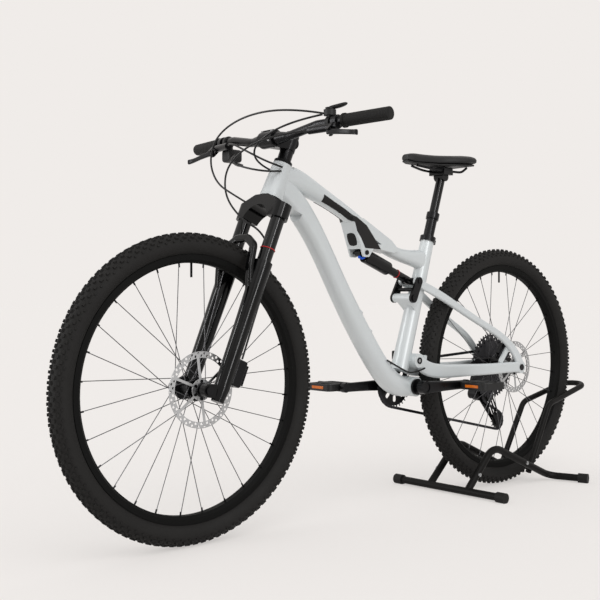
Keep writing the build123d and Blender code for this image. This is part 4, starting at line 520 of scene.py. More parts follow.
# Each row: angle round the casing in degrees, knob height in metres, knob length and width in mm,
# and its lag in steps. Its twin on the other side of the tyre stands half a step further on.
TREAD_ROWS = (
    (7, KNOB_TALL, 9.5, 5.2, 0.0),
    (27, KNOB_TALL, 8.0, 6.0, 0.5),
    (50, KNOB_TALL, 9.0, 6.5, 0.0),
    (68, SIDE_KNOB_TALL, 6.0, 4.0, 0.5),
)
foot = CASING - KNOB_ROOT
for which in axles:
    place = on_axle(which)
    pieces = [(casing_mesh(), place)]
    for degrees, tall, long_mm, wide_mm, first_lag in TREAD_ROWS:
        knob = block((tall + KNOB_ROOT, long_mm / 1000, wide_mm / 1000))
        for angle, lag in ((-degrees, first_lag), (degrees, 0.5 - first_lag)):
            angle = math.radians(angle)
            radius, offset = casing_mid + foot * math.cos(angle), foot * math.sin(angle)
            phase = lag * math.tau / KNOBS_A_ROW
            row = ring_mesh(knob, tyre_rubber, KNOBS_A_ROW, radius, offset, -angle, phase)
            pieces.append((row, place))
    tyre = joined(f"{which}_tyre_tread", pieces, tyre_rubber)
    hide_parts(f"{which}_tyre")
    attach(tyre, f"{which}_wheel")

# %% [markdown]
# Twenty-eight nipples hold the spokes in each rim. They are pegs on the same ring tree.

# %% Nipples
RIM_INNER, SPOKES = 0.297, 28
NIPPLE_RADIUS, NIPPLE_LONG, NIPPLE_SHOWN, NIPPLE_SIDE = 0.0022, 0.010, 0.0095, 0.0028
stub = peg(NIPPLE_RADIUS, NIPPLE_LONG)
foot = RIM_INNER - NIPPLE_SHOWN
for which in axles:
    rows = []
    for side, lag in ((-NIPPLE_SIDE, 1.5), (NIPPLE_SIDE, 0.5)):
        phase = -lag * math.tau / SPOKES - math.pi / 2
        row = ring_mesh(stub, anodised, SPOKES // 2, foot, side, phase=phase)
        rows.append((row, on_axle(which)))
    nipples = joined(f"{which}_nipples", rows, anodised)
    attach(nipples, f"{which}_wheel")

# %% [markdown]
# Cables and hoses hang in free curves between their fittings. Each follows one smooth spline whose
# control points are the route's own points.

# %% Cables and hoses
HOSE = 0.005
ROUTES = {
    "lockout": (
        (0.3702, 0.1855, 1.0245), (0.4139, 0.11, 1.043), (0.4459, -0.02, 1.041),
        (0.4539, -0.13, 1.005), (0.4459, -0.175, 0.943), (0.4339, -0.16, 0.883),
        (0.4219, -0.1, 0.848), (0.3948, -0.065, 0.8216),
    ),
    "shock": (
        (0.3752, 0.185, 1.0215), (0.4259, 0.12, 1.007), (0.4499, 0.02, 0.967),
        (0.4159, -0.026, 0.927), (0.3649, -0.0245, 0.9111),
    ),
    "rear_brake": (
        (0.3959, -0.1576, 0.9839), (0.4439, -0.095, 0.983), (0.4479, -0.01, 0.947),
        (0.4139, 0.026, 0.921), (0.3642, 0.0245, 0.9129),
    ),
    "shift": (
        (0.3631, -0.1726, 0.9645), (0.4319, -0.12, 0.939), (0.4359, -0.04, 0.911),
        (0.4079, 0.026, 0.897), (0.3685, 0.0245, 0.9028),
    ),
    "front_brake": (
        (0.3959, 0.1576, 0.9839), (0.4589, 0.07, 0.977), (0.4879, -0.04, 0.923),
        (0.4879, -0.058, 0.843), (0.4611, -0.02, 0.7781), (0.4264, 0.024, 0.7471),
        (0.4138, 0.044, 0.6744), (0.468, 0.05, 0.5518), (0.5128, 0.05, 0.4361),
    ),
    "rear_loop": (
        (-0.0096, 0.0333, 0.4109), (-0.0596, 0.045, 0.3829), (-0.0997, 0.047, 0.369),
        (-0.1517, 0.0462, 0.383),
    ),
}


def hose(route):
    """A round hose along a smooth spline through a route, as a plain mesh."""
    line = bpy.data.curves.new(route, "CURVE")
    line.dimensions = "3D"
    spline = line.splines.new("NURBS")
    spline.points.add(len(ROUTES[route]) - 1)
    for point, place in zip(spline.points, ROUTES[route]):
        point.co = (*place, 1.0)
    spline.order_u = 3
    spline.use_endpoint_u = True
    spline.resolution_u = 10
    line.bevel_depth = HOSE / 2
    line.bevel_resolution = 3
    line.use_fill_caps = True
    return plain_mesh(linked(route + "_line", line))


def hoses(name, *routes):
    """One piece from the hoses on some routes."""
    return joined(name, [(hose(route), still) for route in routes], hose_skin, True)


fork_cable = hoses("lockout_cable", "lockout")
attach(fork_cable, "steering")
head_cables = hoses("head_tube_cables", "shock", "rear_brake", "shift")
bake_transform(head_cables)
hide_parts("control_cables")
front_hose = hoses("front_hose", "front_brake")
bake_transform(front_hose)
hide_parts("front_brake_hose")
rear_hose = hoses("rear_hose", "rear_loop")
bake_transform(rear_hose)
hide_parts("rear_hose_loop")

# %% [markdown]
# The chain's links stand as the CAD placed them, and a merged copy of them stands in for the CAD
# piece.

# %% Chain
links = written(welded(nodes["chain"].data), "links")
chain = joined("chain_links", [(links, nodes["chain"].matrix_world.copy())], chain_steel)
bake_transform(chain)
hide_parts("chain")

# %% [markdown]
# The saddle is foam under a thin synthetic leather, stretched over a shell. The real one is
# moulded, so a cloth simulation has nothing to add: its form is lofted through crowned sections,
# with a relief channel pressed along the middle and a rolled edge, and then subdivided. The
# leather is a soft black with a fine pebble.

# %% Saddle
saddle_leather = grained("synthetic_leather", "121213", "1B1B1C", 0.5, 1.2, 0.35, shine=0.3)
pad_low, pad_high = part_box("saddle_pad")
PAD_TAIL, PAD_CROWN = 0.104, 0.004
# Each station: distance ahead of the clamp, half width, top and thickness, in mm.
SADDLE_STATIONS = (
    (-104, 44, 1.0, 20), (-90, 62, 4.0, 26), (-60, 69, 4.0, 28), (-20, 58, 1.0, 27),
    (30, 36, -2.0, 26), (90, 23, -4.0, 25), (140, 18, -6.0, 23), (158, 12, -10.0, 16),
)
SADDLE_BACK, SADDLE_LONG, SADDLE_ROWS = -104, 262, 40
CHANNEL_DEEP, CHANNEL_WIDE, CHANNEL_MIDDLE, CHANNEL_REACH = 5.0, 8.0, -10, 75
# Shares of the thickness above and below the rolled edge, and the drop towards the sides.
ABOVE_EDGE, BELOW_EDGE, SIDE_DROP = 0.55, 0.45, 0.12
clamp_x = pad_low.x + PAD_TAIL
saddle_top = pad_high.z - PAD_CROWN


def through(stations, place):
    """Values at a place on a smooth line through the stations."""
    table = np.array(stations, float)
    x = table[:, 0]
    i = int(np.clip(np.searchsorted(x, place) - 1, 0, len(x) - 2))
    span = x[i + 1] - x[i]
    share = (place - x[i]) / span
    slope = np.gradient(table[:, 1:], x, axis=0)
    a, b = table[i, 1:], table[i + 1, 1:]
    keep = share * share * (3 - 2 * share)
    bend_a = share * (1 - share) ** 2 * span * slope[i]
    bend_b = share * share * (share - 1) * span * slope[i + 1]
    return a + (b - a) * keep + bend_a + bend_b


def saddle_loop(place, around=44):
    """One closed section of the cover, as points in metres."""
    half, top, thick = through(SADDLE_STATIONS, place)
    loop = []
    groove = CHANNEL_DEEP * math.exp(-(((place - CHANNEL_MIDDLE) / CHANNEL_REACH) ** 4))
    for step in range(around):
        turn = math.tau * step / around
        side, up = math.cos(turn), math.sin(turn)
        # A squarish oval: full at the shoulders, flat below, crowned above.
        wide = half * math.copysign(abs(side) ** 0.75, side)
        drop = SIDE_DROP * thick * (wide / half) ** 2
        if up >= 0:
            tall = top - ABOVE_EDGE * thick * (1 - abs(up) ** 0.8) - drop
            tall -= groove * math.exp(-((wide / CHANNEL_WIDE) ** 2)) * up
        else:
            tall = top - ABOVE_EDGE * thick - BELOW_EDGE * thick * abs(up) ** 0.6 - drop
            tall = max(tall, top - thick)
        loop.append((clamp_x + place / 1000, wide / 1000, saddle_top + tall / 1000))
    return loop


def lofted(loops):
    """A closed skin through loops of equal count, with a cap at each end, subdivided once."""
    size = len(loops[0])
    verts = [point for loop in loops for point in loop]
    faces = quads(len(loops), size)
    for row in (0, len(loops) - 1):
        verts.append(tuple(np.mean(loops[row], axis=0)))
        for i in range(size):
            faces.append((row * size + i, row * size + (i + 1) % size, len(verts) - 1))
    carrier = linked("lofted", mesh_from("lofted", verts, faces))
    modifier = carrier.modifiers.new("subdivision", "SUBSURF")
    modifier.levels = modifier.render_levels = 1
    return plain_mesh(carrier)


# The rows lie closer together towards both ends.
shares = [0.5 - 0.5 * math.cos(math.pi * i / SADDLE_ROWS) for i in range(SADDLE_ROWS + 1)]
cover = lofted([saddle_loop(SADDLE_BACK + SADDLE_LONG * share) for share in shares])
saddle = joined("saddle_cover", [(cover, still)], saddle_leather, True)
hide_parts("saddle_pad")
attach(saddle, "saddle")

# %% [markdown]
# A dark film guards both sides of the top tube from its middle down to the shock. A mask in the
# paint would blur at its edge, so a thin skin is laid on the tube instead: rays find the surface
# under a grid between two edges, and the skin gets a little thickness. The film is a satin black.

# %% Guard film on the top tube
guard_film = grained("satin_guard_film", "0B0A0A", "141313", 0.36, 1.0, 0.12, shine=0.25)
# Matching places along both edges of the film, as x and z in metres.
FILM_UPPER = (
    (0.2185, 0.8546), (0.1824, 0.8384), (0.1419, 0.8210), (0.1006, 0.8005), (0.0649, 0.7807),
    (0.0350, 0.7478), (0.0089, 0.7171),
)
FILM_LOWER = (
    (0.2221, 0.8266), (0.1934, 0.8113), (0.1642, 0.7957), (0.1270, 0.7763), (0.1044, 0.7679),
    (0.0854, 0.7458), (0.0700, 0.7192),
)
FILM_PROUD, FILM_DEEP, FILM_MARGIN = 0.0008, 0.0012, 0.0015
FILM_LONG, FILM_ACROSS, FILM_CALMED = 150, 22, 10
# Below this half width the tube has turned under, and behind this x the cheeks begin.
FILM_LEAST, CHEEK_AHEAD, CHEEK_SIDE = 0.009, 0.085, 0.027
# Rays towards the bicycle's middle plane start this far out.
RAY_FROM = 0.2


def surface_of(name):
    """A CAD node's surface, ready for rays."""
    mesh = nodes[name].data
    corners = [face.vertices[:] for face in mesh.polygons]
    return BVHTree.FromPolygons([vert.co for vert in mesh.vertices], corners)


def skin(outer, inner):
    """A closed thin skin from two grids of points."""
    rows, cols = outer.shape[:2]
    verts = [tuple(p) for grid in (outer, inner) for p in grid.reshape(-1, 3)]
    shift = rows * cols
    faces = []
    for r in range(rows - 1):
        for c in range(cols - 1):
            quad = [r * cols + c, r * cols + c + 1, (r + 1) * cols + c + 1, (r + 1) * cols + c]
            faces += [quad, [shift + i for i in reversed(quad)]]
    rim = list(range(cols)) + [r * cols + cols - 1 for r in range(1, rows)]
    rim += [(rows - 1) * cols + c for c in range(cols - 2, -1, -1)]
    rim += [r * cols for r in range(rows - 2, 0, -1)]
    for a, b in zip(rim, rim[1:] + rim[:1]):
        faces.append([a, b, shift + b, shift + a])
    return mesh_from("skin", verts, faces)


def side_reach(surface, x, z, side):
    """How far out on a side a surface lies at x and z, or None where a ray misses it."""
    hit = surface.ray_cast(Vector((x, side * RAY_FROM, z)), Vector((0, -side, 0)))[0]
    return hit.y * side if hit else None


frame_surface = surface_of("main_frame")


def film_side(x, z, side):
    """How far out the film lies at x and z, or None beside the tube."""
    out = side_reach(frame_surface, x, z, side)
    if out is not None and out > FILM_LEAST:
        return out
    # Over the window in the cheek the film spans at the cheek's own side.
    return CHEEK_SIDE if x < CHEEK_AHEAD else None


def reach_down(top, low, side):
    """The lowest place between two points that still has the tube behind it."""
    run = low - top
    for share in np.linspace(0, 1, 41):
        x, z = top + run * share
        if film_side(x, z, side) is None:
            return top + run * max(share - FILM_MARGIN / np.linalg.norm(run), 0.05)
    return low


def evenly(edge):
    """Evenly stepped places along an edge of the film."""
    steps = np.linspace(0, len(edge) - 1, FILM_LONG)
    return np.stack([np.interp(steps, np.arange(len(edge)), c) for c in np.array(edge).T], -1)


def side_film(side):
    """The film on one side of the frame."""
    upper, lower = evenly(FILM_UPPER), evenly(FILM_LOWER)
    lower = np.array([reach_down(top, low, side) for top, low in zip(upper, lower)])
    shares = np.linspace(0, 1, FILM_ACROSS)[None, :, None]
    flat = upper[:, None] * (1 - shares) + lower[:, None] * shares
    rows, cols = flat.shape[:2]
    depth = np.zeros((rows, cols))
    for r, c in np.ndindex(rows, cols):
        depth[r, c] = film_side(*flat[r, c], side) or 0.0
    # The widest of the neighbours, so that no corner of the frame pokes through the film.
    wide = np.pad(depth, 1, mode="edge")
    around = [wide[i : i + rows, j : j + cols] for i in range(3) for j in range(3)]
    depth = np.max(around, axis=0)
    calm = depth.copy()
    for _ in range(FILM_CALMED):
        wide = np.pad(calm, 1, mode="edge")
        calm = (wide[:-2, 1:-1] + wide[2:, 1:-1] + wide[1:-1, :-2] + wide[1:-1, 2:]) / 4
    depth = np.maximum(depth, calm)
    grids = []
    for proud in (FILM_PROUD, -FILM_DEEP):
        grids.append(np.stack([flat[..., 0], side * (depth + proud), flat[..., 1]], -1))
    return skin(*grids)


films = joined("guard_films", [(side_film(1), still), (side_film(-1), still)], guard_film, True)
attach(films, "frame")

# %% [markdown]
# Ahead of the shock's front bolt the frame has a pocket with a pale rim, dark with shade inside.
# The pocket is not cut: an oval gloss black patch laid on the sloping front of the mount paints its
# shade, found by rays as the films were.

# %% Pocket shade patch
POCKET_HIGH, POCKET_LOW = Vector((0.1163, 0, 0.803)), Vector((0.0763, 0, 0.695))
POCKET_FROM, POCKET_TO, POCKET_HALF, POCKET_CELLS = 0.40, 0.72, 0.017, 15
# Rays start this far ahead of the slope, and a hit further from it than this is a miss.
POCKET_AHEAD, POCKET_STRAY = 0.08, 0.012
down = POCKET_LOW - POCKET_HIGH
outward = Vector((-down.z, 0, down.x)).normalized()
outer, inner = np.zeros((2, POCKET_CELLS, POCKET_CELLS, 3))
misses = 0
for r, c in np.ndindex(POCKET_CELLS, POCKET_CELLS):
    u, v = 2 * r / (POCKET_CELLS - 1) - 1, 2 * c / (POCKET_CELLS - 1) - 1
    # The square of cells is drawn in to an oval.
    tall, wide = u * math.sqrt(1 - v * v / 3), v * math.sqrt(1 - u * u / 3)
    share = POCKET_FROM + (POCKET_TO - POCKET_FROM) * (tall + 1) / 2
    spot = POCKET_HIGH + down * share + Vector((0, wide * POCKET_HALF, 0))
    hit = frame_surface.ray_cast(spot + outward * POCKET_AHEAD, -outward)[0]
    if hit is None or (hit - spot).length > POCKET_STRAY:
        misses += 1
        hit = spot
    outer[r, c] = hit + outward * FILM_PROUD
    inner[r, c] = hit - outward * FILM_DEEP
# The black patch is painted shade: it stands for the dark inside of the pocket.
pocket_shade = joined("pocket_inset", [(skin(outer, inner), still)], gloss_black, True)
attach(pocket_shade, "frame")
print("pocket misses", misses, "of", POCKET_CELLS**2)

# %% [markdown]
# Small rounded blocks serve as pedal reflectors and as the shock's lever: a cube with its edges
# bevelled catches the light as a moulded piece does. The reflectors are a glassy orange.

# %% Reflectors and lever
amber = grained("amber_reflector_acrylic", "C25A06", "E57A10", 0.2, 2.2, 0.5, shine=0.5)
REFLECTOR, REFLECTOR_ROUND, REFLECTOR_IN = Vector((0.005, 0.046, 0.008)), 0.0012, 0.0008


def middle_of(name):
    """The centre of a CAD node's box."""
    low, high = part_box(name)
    return (low + high) / 2


for side in ("left", "right"):
    low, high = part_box(f"pedal_{side}")
    middle = middle_of(f"pedal_{side}")
    ends = []
    for x in (low.x + REFLECTOR_IN, high.x - REFLECTOR_IN):
        place = Matrix.Translation((x, middle.y, middle.z))
        ends.append((chip(REFLECTOR, place, REFLECTOR_ROUND), still))
    reflectors = joined(f"pedal_{side}_reflectors", ends, amber)
    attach(reflectors, f"pedal_{side}")

SHOCK_FRONT = Vector((0.0643, 0, 0.7070))
LEVER_ROUND = 0.002
# The lever's stem and tab: place from the shock's front bolt, size and lean.
LEVER_CHIPS = (
    ((0.004, 0.006, -0.012), (0.010, 0.010, 0.008), 0.0),
    ((0.002, 0.014, -0.014), (0.014, 0.008, 0.007), 0.3),
)
pieces = []
for spot, size, lean in LEVER_CHIPS:
    place = Matrix.Translation(SHOCK_FRONT + Vector(spot)) @ Matrix.Rotation(lean, 4, "Y")
    pieces.append((chip(size, place, LEVER_ROUND), still))
lever = joined("shock_lever", pieces, blue_alloy)
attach(lever, "shock_body")

# %% [markdown]
# A thin red ring on the left fork tube and one on the shock show how much travel was used. On the
# real fork the wiper pushes its ring along; here that ring stays where it is made, and the shock's
# ring rides on the shaft.

# %% Travel rings
FORK_AXIS = Vector((-0.390731, 0, 0.920505))
FORK_FOOT = Vector((0.585498, 0, 0.351808))
FORK_AHEAD = Vector((0.920505, 0, 0.390731))
# The fork ring's place: up from the foot, ahead of the leg's line and out to the left leg.
RING_UP, RING_AHEAD, LEG_SIDE = 0.3765, 0.008, 0.065
FORK_RING, SHOCK_RING = (0.0182, 0.0012), (0.0119, 0.0013)
SHOCK_REAR = Vector((-0.1377, 0, 0.6310))
SHOCK_RING_ALONG = 0.156


def round_ring(centre, axis, radius, thick, around=40, section=8):
    """A round ring about an axis, as a mesh."""
    turn = Vector(axis).to_track_quat("Z", "Y").to_matrix()
    verts, faces = [], []
    for i in range(around):
        a = math.tau * i / around
        for k in range(section):
            b = math.tau * k / section
            reach = radius + thick * math.cos(b)
            spot = Vector((reach * math.cos(a), reach * math.sin(a), thick * math.sin(b)))
            verts.append(turn @ spot + centre)
            n, m = (i + 1) % around, (k + 1) % section
            faces.append((i * section + k, n * section + k, n * section + m, i * section + m))
    return mesh_from("ring", verts, faces)


ring_spot = FORK_FOOT + FORK_AXIS * RING_UP + FORK_AHEAD * RING_AHEAD + Vector((0, LEG_SIDE, 0))
ring = round_ring(ring_spot, FORK_AXIS, *FORK_RING)
fork_ring = joined("fork_travel_ring", [(ring, still)], red_rubber, True)
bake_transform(fork_ring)
shock_run = (SHOCK_REAR - SHOCK_FRONT).normalized()
ring = round_ring(SHOCK_FRONT + shock_run * SHOCK_RING_ALONG, shock_run, *SHOCK_RING)
shock_ring = joined("shock_travel_ring", [(ring, still)], red_rubber, True)
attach(shock_ring, "shock_shaft")
print("ring at", [round(c, 3) for c in ring_spot])

# %% [markdown]
# Rotors and cogs are stamped from steel sheet with two staggered rows of holes. A second node tree
# fills the space between circles and leaves the holes open, so the perforations are real.

# %% The perforated sheet tree
EDGE_STEPS, HOLE_STEPS = 96, 8


def sheet_tree():
    """A node tree for a flat ring about Z with two staggered rows of round holes."""
    sizes = ("Outer", "Inner", "Hole", "Row A", "Row B", "Thickness")
    tree, given = start_tree("perforated_sheet_ring", {
        **{name: "Float" for name in sizes}, "Count": "Int", "Finish": "Material",
    })
    edges = add(tree, "GeometryNodeJoinGeometry")
    for name in ("Outer", "Inner"):
        edge = add(tree, "GeometryNodeCurvePrimitiveCircle", {
            "Resolution": EDGE_STEPS, "Radius": given[name],
        })
        feed(tree, edges, {"Geometry": edge.outputs["Curve"]})
    hole = add(tree, "GeometryNodeCurvePrimitiveCircle", {
        "Resolution": HOLE_STEPS, "Radius": given["Hole"],
    })
    hole, count = hole.outputs["Curve"], given["Count"]
    step = add(tree, "ShaderNodeMath", {0: math.pi, 1: count}, operation="DIVIDE")
    for name, lag in (("Row A", 0.0), ("Row B", 1.0)):
        turn = add(tree, "ShaderNodeMath", {0: step.outputs[0], 1: lag}, operation="MULTIPLY")
        placed = copies_round(tree, hole, count, given[name], turn.outputs[0])
        real = add(tree, "GeometryNodeRealizeInstances", {"Geometry": placed.outputs["Geometry"]})
        feed(tree, edges, {"Geometry": real.outputs["Geometry"]})
    sheet = add(tree, "GeometryNodeFillCurve", {"Curve": edges.outputs["Geometry"]})
    walls = add(tree, "GeometryNodeExtrudeMesh", {
        "Mesh": sheet.outputs["Mesh"], "Offset Scale": given["Thickness"], "Individual": False,
    })
    under = add(tree, "GeometryNodeFlipFaces", {"Mesh": sheet.outputs["Mesh"]})
    closed = add(tree, "GeometryNodeJoinGeometry")
    for half in (walls, under):
        feed(tree, closed, {"Geometry": half.outputs["Mesh"]})
    sealed = add(tree, "GeometryNodeMergeByDistance", {
        "Geometry": closed.outputs["Geometry"], "Distance": WELD,
    })
    return end_tree(tree, sealed.outputs["Geometry"], given["Finish"])


SHEET = sheet_tree()


def sheet_ring(finish, outer, inner, hole, rows, count, thick):
    """A perforated ring about the Z axis; rows are the radii of its two rows of holes."""
    return tree_mesh(SHEET, {
        "Outer": outer, "Inner": inner, "Hole": hole, "Row A": rows[0], "Row B": rows[1],
        "Thickness": thick, "Count": count, "Finish": finish,
    })


print(SHEET.name, len(SHEET.nodes), "nodes")

# %% [markdown]
# A brake rotor has a perforated track, slanted arms and a bolted centre. The track and the centre
# are perforated sheets, and the arms and bolts use the ring tree.

# %% Rotors
ROTOR_THICK, TRACK_WIDE, TRACK_HOLE, TRACK_HOLES = 0.0020, 0.0150, 0.0034, 30
TRACK_ROWS = (0.0046, 0.0104)  # in from the rotor's edge
CENTRE_OUTER, CENTRE_INNER, CENTRE_HOLE, CENTRE_ROW, ARMS = 0.026, 0.0172, 0.0013, 0.0238, 6
ARM_FOOT, ARM_SLANT, ARM_SHORT = Vector((0.019, -0.009, 0)), -22, 0.0255
ARM_WIDE, ARM_THICK = 0.0062, ROTOR_THICK * 0.96
BOLT_RADIUS, BOLT_TALL, BOLT_RING = 0.0036, 0.0024, 0.0208
SOCKET_SHARE, SOCKET_DEEP, BOLT_SIDES, BOLT_SEAT = 0.55, 0.5, 12, 0.0001
# Each rotor: how far out to the left it stands, and its radius.
ROTORS = {"front": (0.040, 0.090), "rear": (0.058, 0.080)}


def socket_bolt(radius, tall):
    """A cap bolt with a socket in its head, rising along X."""
    inner = radius * SOCKET_SHARE
    rings = ((0.0, radius), (tall, radius), (tall, inner), (tall * SOCKET_DEEP, inner))
    turns = [math.tau * i / BOLT_SIDES for i in range(BOLT_SIDES)]
    verts = [(x, r * math.cos(t), r * math.sin(t)) for x, r in rings for t in turns]
    ends = [range(BOLT_SIDES), range(len(verts) - BOLT_SIDES, len(verts))]
    return mesh_from("bolt", verts, quads(len(rings), BOLT_SIDES) + [tuple(end) for end in ends])


for which, (rotor_y, edge) in ROTORS.items():
    place = on_axle(which, rotor_y)
    flat = place @ Matrix.Translation((0, 0, -ROTOR_THICK / 2))
    rows = [edge - row for row in TRACK_ROWS]
    track = sheet_ring(
        bright_steel, edge, edge - TRACK_WIDE, TRACK_HOLE, rows, TRACK_HOLES, ROTOR_THICK
    )
    rows = (CENTRE_ROW, CENTRE_ROW)
    centre = sheet_ring(
        bright_steel, CENTRE_OUTER, CENTRE_INNER, CENTRE_HOLE, rows, ARMS, ROTOR_THICK
    )
    arm_long = edge - ARM_SHORT
    slant = (
        Matrix.Translation(ARM_FOOT)
        @ Matrix.Rotation(math.radians(ARM_SLANT), 4, "Z")
        @ Matrix.Translation((arm_long / 2, 0, 0))
    )
    arms = ring_mesh(chip((arm_long, ARM_WIDE, ARM_THICK), slant), bright_steel, ARMS, 0.0)
    pieces = [(track, flat), (centre, flat), (arms, place)]
    rotor = joined(f"{which}_perforated_rotor", pieces, bright_steel)
    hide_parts(f"{which}_rotor")
    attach(rotor, f"{which}_wheel")
    bolt = socket_bolt(BOLT_RADIUS, BOLT_TALL)
    seat = ROTOR_THICK / 2 - BOLT_SEAT
    heads = ring_mesh(bolt, anodised, ARMS, BOLT_RING, seat, -math.pi / 2, math.pi / 6)
    rotor_bolts = joined(f"{which}_rotor_bolts", [(heads, place)], anodised)
    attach(rotor_bolts, f"{which}_wheel")

# %% [markdown]
# The four largest cogs of a cassette are drilled to save weight, and daylight shows through them.
# Solid discs would look heavy, so each is the perforated sheet again with a ring of teeth round
# it. The smaller cogs and the drum are kept from a copy of the CAD piece.

# %% Drilled cogs
PITCH, ROOT_DEEP = 0.0127, 0.0036
# Each cog: teeth, side offset, and how many holes each row has.
DRILLED_COGS = ((50, -0.0285, 26), (42, -0.0324, 24), (36, -0.0363, 20), (32, -0.0402, 18))
COG_THICK, COG_HOLE, COG_ROWS = 0.0016, 0.0036, (0.0075, 0.0165)
DRUM, LAST_DRILLED, DRUM_BITE = 0.0177, -0.0414, 0.0002
TOOTH_TALL, TOOTH_LONG, TOOTH_TAPER, TOOTH_ROOT = 0.0062, 0.0068, 0.5, 0.0004
axle = axles["rear"]
kept = welded(nodes["cassette"].data)
spare = []
for face in kept.faces:
    middle = face.calc_center_median()
    if middle.y > LAST_DRILLED and math.hypot(middle.x - axle.x, middle.z - axle.z) > DRUM:
        spare.append(face)
bmesh.ops.delete(kept, geom=spare, context="FACES")
pieces = [(written(kept, "small_cogs"), still)]
tooth = block((TOOTH_TALL, TOOTH_LONG, COG_THICK), TOOTH_TAPER)
for teeth, side, count in DRILLED_COGS:
    root = PITCH / (2 * math.sin(math.pi / teeth)) - ROOT_DEEP
    place = on_axle("rear", side)
    rows = [root - row for row in COG_ROWS]
    sheet = sheet_ring(chain_steel, root, DRUM - DRUM_BITE, COG_HOLE, rows, count, COG_THICK)
    crown = ring_mesh(tooth, chain_steel, teeth, root - TOOTH_ROOT)
    pieces += [(sheet, place @ Matrix.Translation((0, 0, -COG_THICK / 2))), (crown, place)]
cogs = joined("drilled_cassette", pieces, chain_steel)
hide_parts("cassette")
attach(cogs, "cassette")

# %% [markdown]
# The derailleur's cage is two thin plates with a long window between its pulleys. A flat filled
# curve makes such a plate at once: its outer line is a belt round two or three circles, and a
# second line inside it stays open.

# %% Derailleur cage
CHAIN_SIDE, PLATE_STEP, PLATE_THICK, CAGE_AXLE = -0.048, 0.00525, 0.0015, 0.003
GUIDE_END, TENSION_END, KNUCKLE_END = 0.013, 0.015, 0.014
# Turns a plate in XY to stand in the bicycle's XZ plane.
TO_SIDE = Matrix.Rotation(math.pi / 2, 4, "X")


def belt(circles, steps=28):
    """The outline of a belt round circles, given as ((x, z), radius) in metres."""
    spots = []
    for (x, z), radius in circles:
        turns = [math.tau * i / steps for i in range(steps)]
        spots += [Vector((x + radius * math.cos(t), z + radius * math.sin(t))) for t in turns]
    return [spots[i] for i in geometry.convex_hull_2d(spots)]


def cut_plate(name, loops, thick):
    """A flat plate in the XY plane; every outline after the first is an opening."""
    line = bpy.data.curves.new(name, "CURVE")
    line.dimensions = "2D"
    line.fill_mode = "BOTH"
    line.extrude = thick / 2
    for loop in loops:
        spline = line.splines.new("POLY")
        spline.points.add(len(loop) - 1)
        for point, spot in zip(spline.points, loop):
            point.co = (spot.x, spot.y, 0.0, 1.0)
        spline.use_cyclic_u = True
    return written(welded(plain_mesh(linked(name, line))), name)


guide, tension = middle_of("guide_pulley").xz, middle_of("tension_pulley").xz
run = tension - guide
knuckle = guide + Vector((0.034, 0.002))
window = belt([(guide + run * 0.30, 0.0085), (guide + run * 0.70, 0.0075)])
corner = belt([(guide + Vector((0.016, -0.001)), 0.0045), (guide + Vector((0.020, -0.014)), 0.003)])
ends = [(guide, GUIDE_END), (tension, TENSION_END)]
plates = {
    PLATE_STEP: [belt(ends), window],
    -PLATE_STEP: [belt([*ends, (knuckle, KNUCKLE_END)]), window, corner],
}
pieces = []
for step, loops in plates.items():
    place = Matrix.Translation((0, CHAIN_SIDE + step, 0)) @ TO_SIDE
    pieces.append((cut_plate("cage_plate", loops, PLATE_THICK), place))
for spot in (guide, tension):
    pin = cut_plate("cage_axle", [belt([(spot, CAGE_AXLE)], 16)], 2 * PLATE_STEP + 0.003)
    pieces.append((pin, Matrix.Translation((0, CHAIN_SIDE, 0)) @ TO_SIDE))
cage = joined("windowed_cage", pieces, anodised)
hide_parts("derailleur_cage")
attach(cage, "swingarm")

# %% [markdown]
# A black cap ring with a bright bolt closes each main pivot bearing. It is a plate with a round
# opening and a socket bolt inside, set where rays meet the swingarm's side.

# %% Pivot caps
PIVOT = Vector((-0.131667, 0.405))
CAP_OUTER, CAP_INNER, CAP_THICK, CAP_BOLT = 0.0095, 0.0048, 0.0024, 0.0018
CAP_RAYS, CAP_RAY_RING, CAP_SEAT = 12, 0.008, 0.0006
swing_surface = surface_of("rear_triangle")
outlines = [belt([(PIVOT, CAP_OUTER)], 32), belt([(PIVOT, CAP_INNER)], 24)]
rings, bolts = [], []
for side in (1, -1):
    reach = []
    for step in range(CAP_RAYS):
        angle = math.tau * step / CAP_RAYS
        x, z = CAP_RAY_RING * math.cos(angle), CAP_RAY_RING * math.sin(angle)
        reach.append(side_reach(swing_surface, PIVOT.x + x, PIVOT.y + z, side))
    out = max(r for r in reach if r is not None)
    place = Matrix.Translation((0, side * (out + CAP_SEAT), 0)) @ TO_SIDE
    rings.append((cut_plate("cap", outlines, CAP_THICK), place))
    spot = Matrix.Translation((PIVOT.x, side * (out - CAP_SEAT), PIVOT.y))
    stand_out = Matrix.Rotation(side * math.pi / 2, 4, "Z")
    bolts.append((socket_bolt(CAP_INNER, CAP_BOLT), spot @ stand_out))
caps = joined("pivot_caps", rings, anodised)
cap_bolts = joined("pivot_bolts", bolts, bright_steel)
for piece, slot in ((caps, "black_alloy"), (cap_bolts, "bright_steel")):
    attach(piece, "swingarm")

# %% [markdown]
# The suspension remote is a round hub with a thumb paddle that rises away from it. The paddle is
# moulded with no edge at all, so oval sections are lofted along the lever and subdivided.

# %% Thumb paddle
HUB_RADIUS, PADDLE_TIP, PADDLE_AROUND = 0.011, 0.006, 16
